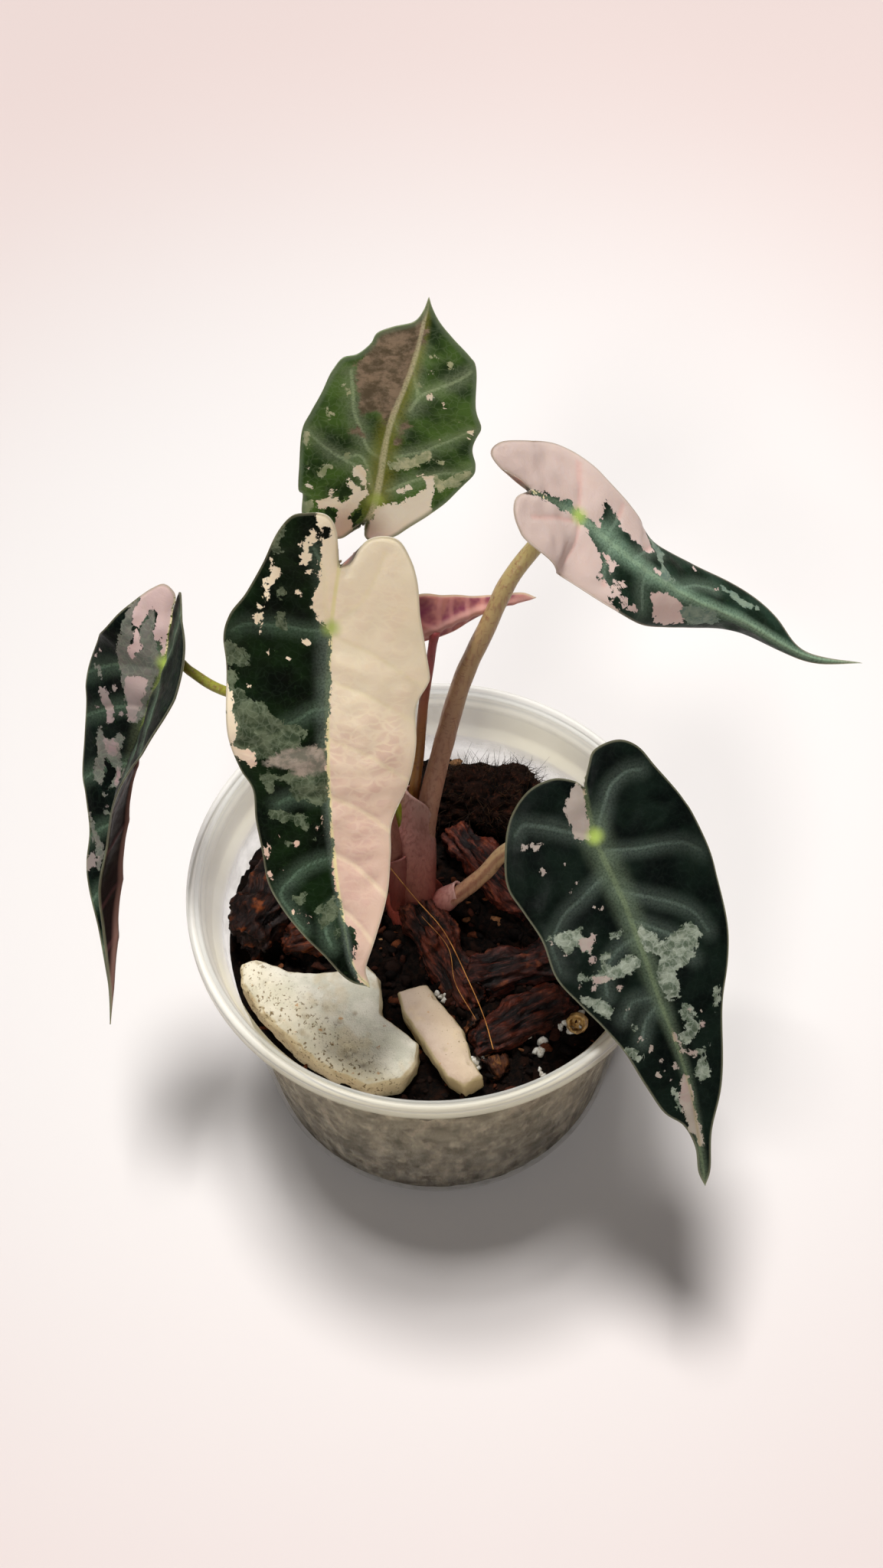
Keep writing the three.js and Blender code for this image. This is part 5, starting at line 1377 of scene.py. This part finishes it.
def bark_finish(name, crevice_dark_and_shade, body, crest, flake):
    """Ridged bark: dark in its crevices and fine grooves, from its own dark and painted shade, reddish on its
    ridges, with torn orange flakes
    """
    f = Finish(name)
    fibres = f.joined(f.times(f.mark("long"), 0.12), f.mark("wide"), f.mark("thin"))
    streak = f.noise(0.8, 5, 0.7, fibres)
    height = f.plus(f.mark("crest"), f.math("MULTIPLY_ADD", f.noise(1.7, 4, 0.7), 1.6, -0.8))
    # Painted shade, with the bark's own dark: the low parts of the relief are near black
    shade = f.mix(f.step(height, -0.9, 0.3), crevice_dark_and_shade, body)
    # The same dark in the fine grooves of the bump: painted shade there too
    shade = f.mix(f.step(streak, 0.38, 0.6, 0.75, 0), shade, crevice_dark_and_shade)
    shade = f.mix(f.step(streak, 0.52, 0.7, 0, 0.6), shade, crest)
    torn = f.times(f.step(f.noise(5, 4, 0.65), 0.54, 0.68), f.step(height, -0.2, 0.6))
    shade = f.mix(f.times(torn, 0.55), shade, flake)
    rough = f.step(streak, 0.3, 0.7, 0.75, 0.42)
    return f.done(shade, rough, f.bump(streak, 0.5), Specular_IOR_Level=0.2)


def stone_finish(name, body, stain, spot, flank_tone_and_shade, specks):
    """Pale pumice: pits darkened with painted shade, stains, dark specks in a band, tan spots, and on its
    steep flanks a tone that is partly its own tan and partly painted shade
    """
    f = Finish(name)
    shade = f.stain(body, stain, 6, 0.4, 0.62, 1, 4, 0.6)
    upright = f.split(f.node("ShaderNodeNewGeometry").outputs["Normal"])[2]
    # Painted shade on the steep flanks, mixed with the stone's own tan tone
    shade = f.mix(f.step(upright, 0.45, 0.85, 0.9, 0), shade, flank_tone_and_shade)
    shade = f.stain(shade, "#dcc396", 9, 0.54, 0.68, 0.35, 3, 0.6)
    # Painted shade in the pits: the deeper a pit, the more of this darker tan
    shade = f.mix(f.step(f.mark("crest"), -0.7, -0.1, 0.55, 0), shade, "#a8977a")
    band = f.step(f.mark("band"), 0.1, 0.7, 0.12, 1)
    shade = f.mix(f.times(band, 0.3), shade, "#d8c59a")
    speck = f.step(f.noise(0.9, 3, 0.65), 0.66 - 0.12 * specks, 0.72 - 0.1 * specks)
    shade = f.mix(f.times(speck, band), shade, "#8a7656")
    shade = f.stain(shade, spot, 2.6, 0.66, 0.72, 0.7, 3, 0.6)
    return f.done(shade, 0.85, f.bump(f.noise(0.5, 5, 0.75), 0.35), Specular_IOR_Level=0.2)


def coir_finish():
    f = Finish("coir")
    # Painted shade: near black in the hollows between the lumps, dark brown on their tops
    shade = f.mix(f.step(f.mark("crest"), -0.8, 0.6), "#040201", "#1a0d08")
    shade = f.stain(shade, "#331a10", 1.4, 0.5, 0.68, 1, 4, 0.7)
    return f.done(shade, 0.95, f.bump(f.noise(0.35, 4, 0.8), 0.4), Specular_IOR_Level=0.08)


def strand_finish(name, dark, light):
    f = Finish(name)
    return f.done(f.stain(dark, light, 2.5, 0.4, 0.62), 0.6, Specular_IOR_Level=0.15)


def prill_finish():
    f = Finish("prill")
    shade = f.stain("#c9a263", "#8a6434", 1.2, 0.4, 0.65)
    shade = f.stain(shade, "#e2c895", 0.5, 0.58, 0.7)
    return f.done(shade, 0.35, f.bump(f.noise(0.4, 3), 0.08))


def cup_finish():
    """Thin milky plastic: clearest in the side wall, denser and brighter in the rim's bands"""
    f = Finish("cup_plastic")
    height = f.math("DIVIDE", f.split(f.place)[2], CUP_HEIGHT * MM)
    cloud = f.step(f.noise(16, 3), 0.35, 0.65)
    # The height ramp paints the shade of the rim's grooves as greyer bands
    shade = f.mix(f.times(cloud, 0.14), f.ramp(height, CUP_SHADES), "#c9c3ae")
    smear = f.step(f.noise(4.4, 2, 0.5), 0.42, 0.66, 0, 0.12)
    cover = f.plus(f.step(height, 0.74, 0.88, 0.08, 0.4), f.times(smear, f.step(height, 0.74, 0.86, 1, 0)))
    cover = f.plus(cover, f.times(cloud, 0.05))
    return f.done(shade, 0.38, f.bump(f.noise(9, 3), 0.05), Alpha=cover, Specular_IOR_Level=0.25)


def floor_finish():
    """Plain pale floor that turns a little pinker away from the middle"""
    f = Finish("floor")
    reach = f.filled(f.node("ShaderNodeVectorMath", operation="DISTANCE"), f.place, (0, 0.1, 0))
    shade = f.mix(f.step(reach.outputs["Value"], 0.12, 0.34), "#ddd9d8", "#d9c8c5")
    return f.done(f.stain(shade, "#f0e4e0", 300, 0.3, 0.7, 0.06, 2), 0.9)


def stalk_path(leaf):
    """From inside the crown to the blade, which the stalk meets from below"""
    (point,), (up,), (port,) = Blade(leaf).frames(np.array([0.0]))
    lean = math.radians((leaf["port"]["fold"][0] - leaf["starboard"]["fold"][0]) / 2)
    way = up * math.cos(lean) - port * math.sin(lean)
    if leaf["stalk"]["arrival"]:
        way = unit(np.array(leaf["stalk"]["arrival"]))
    return Path([*leaf["stalk"]["route"], point - way * STALK_APPROACH, point])


def stalk_radius(leaf, path, along):
    return np.interp(along, [0, leaf["stalk"]["sheath"], path.total], leaf["stalk"]["radii"])


def make_stalk(name, leaf, finish):
    """A smooth stalk that widens a little where it meets the blade"""
    path = stalk_path(leaf)
    along = np.linspace(0, path.total - STALK_GAP, STALK_STEPS)
    points = path.at(along)[0]
    radii = stalk_radius(leaf, path, along) * (1 + 0.02 * field(points, 6, 5))
    radii = radii * (1 + STALK_FLARE * smoothstep(along, path.total - STALK_APPROACH, path.total))
    form = Form()
    tube(form, points, radii, STALK_SIDES, STALK_SQUASH)
    form.piece("stem_" + name, "stalk", [finish], ["stalk_" + name])


def make_crown(finish):
    """The short stem, and round the foot of each stalk a sheath that widens to a wing on one side"""
    form = Form()
    lathe(form, Path(STEM_PROFILE).spaced(STEM_STEPS)[:, [0, 2]], STEM_STEPS, run=0.0, tone=0.0)
    form.points[-1] = form.points[-1] * (1 + 0.03 * field(form.points[-1], 4, 3)[:, None]) + CROWN
    turn = turns(SHEATH_SIDES)[:, None]
    for name, (length, wing, side, tone) in SHEATHS.items():
        path = stalk_path(LEAVES[name])
        along = np.linspace(0, length, SHEATH_STEPS)
        points, forward = path.at(along)
        first, second = across_frames(forward)
        ring = first[:, None] * np.cos(turn) + second[:, None] * np.sin(turn)
        facing = ring @ unit(np.array(side))
        opening, widening, lifting = (
            smoothstep(along, length * start, length * end)[:, None]
            for start, end in ((0.45, 0.85), (0.1, 0.7), (0.6, 1))
        )
        wall = SHEATH_WALL + 0.1 - (SHEATH_WALL + 0.4) * ((1 - facing) / 2 * opening)
        spread = wing * np.clip(facing, 0, 1) ** 2 * widening
        radius = stalk_radius(LEAVES[name], path, along)[:, None] + wall + spread
        lift = 0.16 * length * (facing - 0.5) * lifting
        outer = points[:, None] + radius[..., None] * ring + forward[:, None] * lift[..., None]
        inner = outer[::-1] - 2 * SHEATH_WALL * ring[::-1]
        shell = np.concatenate([outer, inner[:SHEATH_LINING]])
        run = np.repeat(np.concatenate([along, along[::-1][:SHEATH_LINING]]) / length, SHEATH_SIDES)
        form.add(shell, grid_faces(len(shell), SHEATH_SIDES, True), run=run, tone=tone)
    form.piece("crown_sheaths", "crown", [finish], ["crown"])


def make_cup(finish):
    """The cup's one wall: foot, side, stacking ledge, band and the rolled rim, outside and then inside"""
    base, waist, ledge, rim = BASE_RADIUS, WAIST_RADIUS, LEDGE_RADIUS, RIM_RADIUS
    wall, step, top = CUP_WALL, LEDGE_HEIGHT, CUP_HEIGHT
    profile = [
        [0.1, 1.2], [base - 7, 1.2], [base - 4.5, 0.3], [base - 2.5, 0], [base - 0.9, 0.5], [base, 2],
        [waist - 0.1, step - 3.4], [waist + 0.3, step - 2.2], [ledge - 0.5, step - 0.6], [ledge, step + 0.8],
        [ledge + 0.9, top - 6.6], [ledge + 1.5, top - 5.6], [rim - 0.9, top - 5.3], [rim - 0.2, top - 5],
        [rim, top - 4.4], [rim - 0.15, top - 3.9], [rim - 0.8, top - 3.5], [rim - 0.75, top - 2.9],
        [rim - 0.2, top - 2.5], [rim, top - 1.7], [rim - 0.1, top - 0.8], [rim - 0.5, top - 0.2],
        [rim - 1.1, top],
        [rim - 1.7, top - 0.3], [rim - 2, top - 1], [rim - 2.3, top - 1.2], [rim - 2.8, top - 1.1],
        [rim - 3.1, top - 1.6], [rim - 3.2, top - 2.8], [ledge - 0.1, top - 3.9], [ledge - 0.4, top - 5.2],
        [ledge - wall, step + 1.6], [ledge - wall - 0.4, step + 0.4], [waist - wall + 0.2, step - 1.2],
        [waist - wall, step - 2.6], [base - wall, 3], [base - wall - 1, 1.7], [0.1, 1.5],
    ]
    form = Form()
    lathe(form, profile, CUP_SIDES)
    form.piece("cup_shell", "cup", [finish], ["cup"])


def soil_top(x, y):
    reach = ((x - CROWN[0]) ** 2 + (y - CROWN[1]) ** 2) / MOUND_RADIUS**2
    wide, deep, fine = (2 * math.pi / length for length in LUMP_LENGTHS)
    lumps = np.sin(wide * x + 1) * np.cos(deep * y - 1) + 0.6 * np.sin(fine * (x + y / 2))
    return SOIL_LEVEL + MOUND_HEIGHT * np.exp(-reach) + LUMP_HEIGHT * lumps


def soil_reach(height):
    """The soil's radius at this height, just inside the wall"""
    share = (height - 2.2) / (LEDGE_HEIGHT - 3.4)
    return BASE_RADIUS - CUP_WALL + (WAIST_RADIUS - BASE_RADIUS) * share - 0.05


def make_soil(finish):
    """Soil packed against the wall, with a crumbly top"""
    angle = turns(SOIL_SIDES)
    rows = []
    for height in np.concatenate([[SOIL_FOOT], np.linspace(2.4, SOIL_LEVEL - 2, SOIL_RINGS)]):
        radius = soil_reach(height) - (1.2 if height == SOIL_FOOT else 0)
        ring = np.stack([radius * np.cos(angle), radius * np.sin(angle), height + 0 * angle], 1)
        dent = 0.2 * np.clip(field(ring, 5, 31) + 0.5 * field(ring, 2, 32), 0, 2)
        ring[:, :2] *= (1 - dent / radius)[:, None]
        rows.append(ring)
    edge = soil_reach(SOIL_LEVEL)
    for share in np.linspace(1, 0.001, SOIL_TOP_RINGS):
        x, y = edge * share * np.cos(angle), edge * share * np.sin(angle)
        spots = np.stack([x, y], 1)
        crumble = 0.7 * field(spots, 6, 41) + 0.55 * field(spots, 2.6, 42) + 0.35 * field(spots, 1.3, 43)
        rows.append(np.stack([x, y, soil_top(x, y) + crumble - 0.4], 1))
    side = np.repeat([1.0, 0.0], [(SOIL_RINGS + 1) * SOIL_SIDES, SOIL_TOP_RINGS * SOIL_SIDES])
    form = Form()
    form.add(rows, grid_faces(len(rows), SOIL_SIDES, True), side=side)
    form.join([range(SOIL_SIDES)[::-1]])
    form.piece("soil_mass", "soil", [finish], ["soil"])


def disc_spot(random, reach):
    """A random spot in a disc of this radius round the axis"""
    angle, length = random.uniform(0, 2 * math.pi), reach * math.sqrt(random.uniform())
    return np.array([length * math.cos(angle), length * math.sin(angle)])


def grain(form, centre, size, random, rings=6, sides=8, rough=0.25, **marks):
    """One rough grain: size is its three half lengths"""
    points = [
        [math.sin(tilt) * math.cos(angle), math.sin(tilt) * math.sin(angle), -math.cos(tilt)]
        for tilt in np.linspace(0.01, math.pi - 0.01, rings)
        for angle in turns(sides)
    ]
    points = np.array(points) * (1 + rough * field(points, 1.4, int(random.integers(1e6)), 6))[:, None]
    turn = np.array(Matrix.Rotation(random.uniform(0, 6.3), 3, Vector(random.normal(size=3))))
    form.add((points * size) @ turn.T + centre, grid_faces(rings, sides, True), **marks)


def make_crumbs(finish):
    """Loose crumbs of bark and peat all over the soil, by a seeded rule"""
    random = np.random.default_rng(5)
    form = Form()
    for _ in range(CRUMBS):
        spot = disc_spot(random, CRUMB_REACH)
        length = 0.5 + 1.5 * random.uniform() ** 2.2
        size = length * np.array([1, random.uniform(0.35, 0.9), random.uniform(0.3, 0.7)])
        tone = random.uniform() ** 1.5
        height = float(soil_top(*spot)) + random.uniform(-0.5, 0.7)
        grain(form, [*spot, height], size, random, tone=tone)
    form.piece("soil_crumbs", "soil", [finish])


def make_perlite(finish):
    """White grains in the clusters that the photo shows"""
    random = np.random.default_rng(8)
    form = Form()
    for x, y, count, spread in PERLITE:
        for _ in range(count):
            spot = disc_spot(random, spread) + [x, y]
            size = random.uniform(0.5, 1.5) * np.array([1, random.uniform(0.7, 1), random.uniform(0.6, 0.9)])
            height = float(soil_top(*spot)) + random.uniform(0, 0.8)
            grain(form, [*spot, height], size, random, 8, 10, 0.3)
    form.piece("perlite", "soil", [finish])


def refined(node, grid, shape):
    """A finer copy of a node, its points moved by a rule: shape gives the way out its offset and marks"""
    source = added("copy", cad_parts[node].data.copy())
    remesh = source.modifiers.new("remesh", "REMESH")
    remesh.mode = "VOXEL"
    remesh.voxel_size = grid * MM
    depsgraph = bpy.context.evaluated_depsgraph_get()
    mesh = bpy.data.meshes.new_from_object(source.evaluated_get(depsgraph))
    bpy.data.objects.remove(source)
    points, normals = np.zeros(len(mesh.vertices) * 3), np.zeros(len(mesh.vertices) * 3)
    mesh.vertices.foreach_get("co", points)
    mesh.vertices.foreach_get("normal", normals)
    points, normals = points.reshape(-1, 3) / MM, normals.reshape(-1, 3)
    faces = [list(face.vertices) for face in mesh.polygons]
    bpy.data.meshes.remove(mesh)
    offset, marks = shape(points)
    form = Form()
    form.add(points + normals * offset[:, None], faces, **marks)
    return form


def bark_shape(points, seed, ridge, depth):
    """Long split ridges along the piece, with lumps and small pits"""
    centred = points - points.mean(0)
    along, wide, thin = np.linalg.svd(centred, full_matrices=False)[2]
    local = np.stack([centred @ along / 5, centred @ wide, centred @ thin], 1)
    split = 1 - 2 * np.abs(field(local, ridge, seed, 24))
    fine = 1 - 2 * np.abs(field(local, ridge / 2.6, seed + 1, 24))
    crest = 0.45 * split + 0.35 * fine + 0.5 * field(points, 7, seed + 2)
    marks = {"crest": crest, "long": local[:, 0] * 5, "wide": local[:, 1], "thin": local[:, 2]}
    return depth * (crest - 0.35) + 0.14 * field(points, 1.3, seed + 3), marks


def stone_shape(points, seed, pit_count, lump, line):
    """Gentle lumps with small round pits that gather along a line"""
    random = np.random.default_rng(seed)
    nearness = np.exp(-((line_distance(points, line) / PIT_REACH) ** 2))
    crowd = nearness + 0.04
    pits = points[random.choice(len(points), pit_count, p=crowd / crowd.sum())]
    radii = 0.4 + 0.8 * random.uniform(size=pit_count) ** 2.5
    depth = np.zeros(len(points))
    for pit, radius in zip(pits, radii):
        gap = np.linalg.norm(points - pit, axis=1) / radius
        depth = np.maximum(depth, radius * 0.55 * np.clip(1 - gap**2, 0, 1))
    lumps = lump * field(points, 9, seed + 1) + 0.09 * field(points, 2.4, seed + 2)
    return lumps - depth - 0.1, {"crest": 0.1 - 1.3 * depth, "band": nearness}


def line_distance(points, line):
    """How far points are from an upright plane through this line"""
    (x, y), (end_x, end_y) = line
    gaps = (points[:, 0] - x) * (end_y - y) - (points[:, 1] - y) * (end_x - x)
    return np.abs(gaps) / math.hypot(end_x - x, end_y - y)


def coir_shape(points):
    lumps = 0.5 * field(points, 5, 61) + 0.45 * field(points, 2.2, 62) + 0.3 * field(points, 1.1, 63)
    return lumps - 0.5, {"crest": lumps}


def make_chips():
    for order, (node, (ridge, depth, *shades)) in enumerate(BARK.items()):
        form = refined(node, BARK_GRID, lambda points: bark_shape(points, 70 + 5 * order, ridge, depth))
        form.piece(node + "_chip", "bark", [bark_finish(node + "_finish", *shades)], [node])


def make_stones():
    for order, (node, (pits, lump, line, *shades)) in enumerate(STONES.items()):
        form = refined(node, STONE_GRID, lambda points: stone_shape(points, 90 + order, pits, lump, line))
        form.piece(node + "_stone", "pumice", [stone_finish(node + "_finish", *shades)], [node])


def make_coir(finish, hair):
    form = refined("coir_chunk", COIR_GRID, coir_shape)
    form.piece("coir_fibre", "coir", [finish], ["coir_chunk"])
    hairs = Form()
    fuzz(hairs, form.points[0], 17)
    hairs.piece("coir_hairs", "coir", [hair])


def fuzz(form, spots, seed):
    """Short bent hairs that stand out of a piece, by a seeded rule"""
    random = np.random.default_rng(seed)
    middle = spots.mean(0)
    share = np.linspace(0, 1, 6)[:, None]
    for foot in spots[random.choice(len(spots), HAIRS)]:
        out = unit(unit(foot - middle) + 0.55 * random.normal(size=3) + [0, 0, 0.25])
        bend = random.normal(size=3) * 0.55
        length = random.uniform(*HAIR_LENGTHS)
        points = foot - 0.3 * out + out * length * share + bend * length * share**2
        tube(form, points, HAIR_RADIUS * (1 - 0.8 * share[:, 0]), 3)


def make_fibres(finish):
    """Long thin fibres lying over the bark"""
    form = Form()
    for radius, route in FIBRES:
        tube(form, Path(route).spaced(60), np.full(60, radius), 6)
    form.piece("loose_fibres", "coir", [finish])


def make_prill(finish):
    form = refined("prill", PRILL_GRID, lambda points: (0.06 * field(points, 1.5, 51), {}))
    form.piece("prill_shell", "prill", [finish], ["prill"])


def make_camera():
    right, above, back = view_axes()
    camera = added("camera", bpy.data.cameras.new("camera"))
    place = (VIEW_TARGET + back * VIEW_DISTANCE) * MM
    turned = Matrix([right, above, back]).transposed().to_4x4()
    camera.matrix_world = Matrix.Translation(Vector(place)) @ turned
    camera.data.sensor_width = SENSOR_WIDTH
    camera.data.lens = SENSOR_WIDTH * FOCAL_PIXELS / PHOTO_HEIGHT
    camera.data.clip_start = 0.01
    camera.data.dof.use_dof = False
    bpy.context.scene.camera = camera


def make_light(kind, place, energy, shade):
    lamp = bpy.data.lights.new(kind.lower(), kind)
    lamp.energy = energy
    lamp.color = colour(shade)[:3]
    if kind == "SUN":
        lamp.angle = math.radians(SUN_ANGLE)
    else:
        lamp.spot_size = math.radians(SPOT_CONE)
        lamp.spot_blend = SPOT_BLEND
        lamp.shadow_soft_size = SPOT_RADIUS
    way = Vector(LIGHT_TARGET) - Vector(place)
    turned = way.to_track_quat("-Z", "Y").to_matrix().to_4x4()
    added(kind.lower(), lamp).matrix_world = Matrix.Translation(Vector(place)) @ turned


def make_world():
    """Weak even light, in front of a pale backdrop"""
    world = bpy.data.worlds.new("studio")
    world.use_nodes = True
    nodes, links = world.node_tree.nodes, world.node_tree.links
    background = nodes["Background"]
    background.inputs[0].default_value = colour(WORLD_COLOUR)
    strength = nodes.new("ShaderNodeMapRange")
    links.new(nodes.new("ShaderNodeLightPath").outputs["Is Camera Ray"], strength.inputs["Value"])
    strength.inputs["To Min"].default_value = WORLD_STRENGTH
    strength.inputs["To Max"].default_value = BACKDROP_STRENGTH
    links.new(strength.outputs[0], background.inputs[1])
    bpy.context.scene.world = world


def make_studio():
    corners = [(x * FLOOR_REACH, y * FLOOR_REACH, 0) for x, y in ((-1, -1), (1, -1), (1, 1), (-1, 1))]
    floor = bpy.data.meshes.new("floor")
    floor.from_pydata(corners, [], [(0, 1, 2, 3)])
    floor.materials.append(floor_finish())
    stage = added("floor", floor)
    stage.location.z = -FLOOR_GAP
    make_world()
    for light in LIGHTS:
        make_light(*light)
    bpy.context.scene.view_settings.view_transform = "Standard"


def make_leaves():
    for name, leaf in LEAVES.items():
        shades = {**LEAF_SHADES["all"], **LEAF_SHADES[name]}
        make_blade(name, leaf, upper_face(name, shades), under_face(name, shades))
        make_stalk(name, leaf, stalk_finish(name, STALK_SHADES[name]))


make_camera()
make_studio()
make_leaves()
make_crown(sheath_finish())
make_cup(cup_finish())
make_soil(soil_finish())
make_crumbs(crumb_finish())
make_perlite(perlite_finish())
make_chips()
make_stones()
make_coir(coir_finish(), strand_finish("coir_hair", "#120a06", "#33200f"))
make_fibres(strand_finish("fibre", "#8a5a2c", "#b98245"))
make_prill(prill_finish())
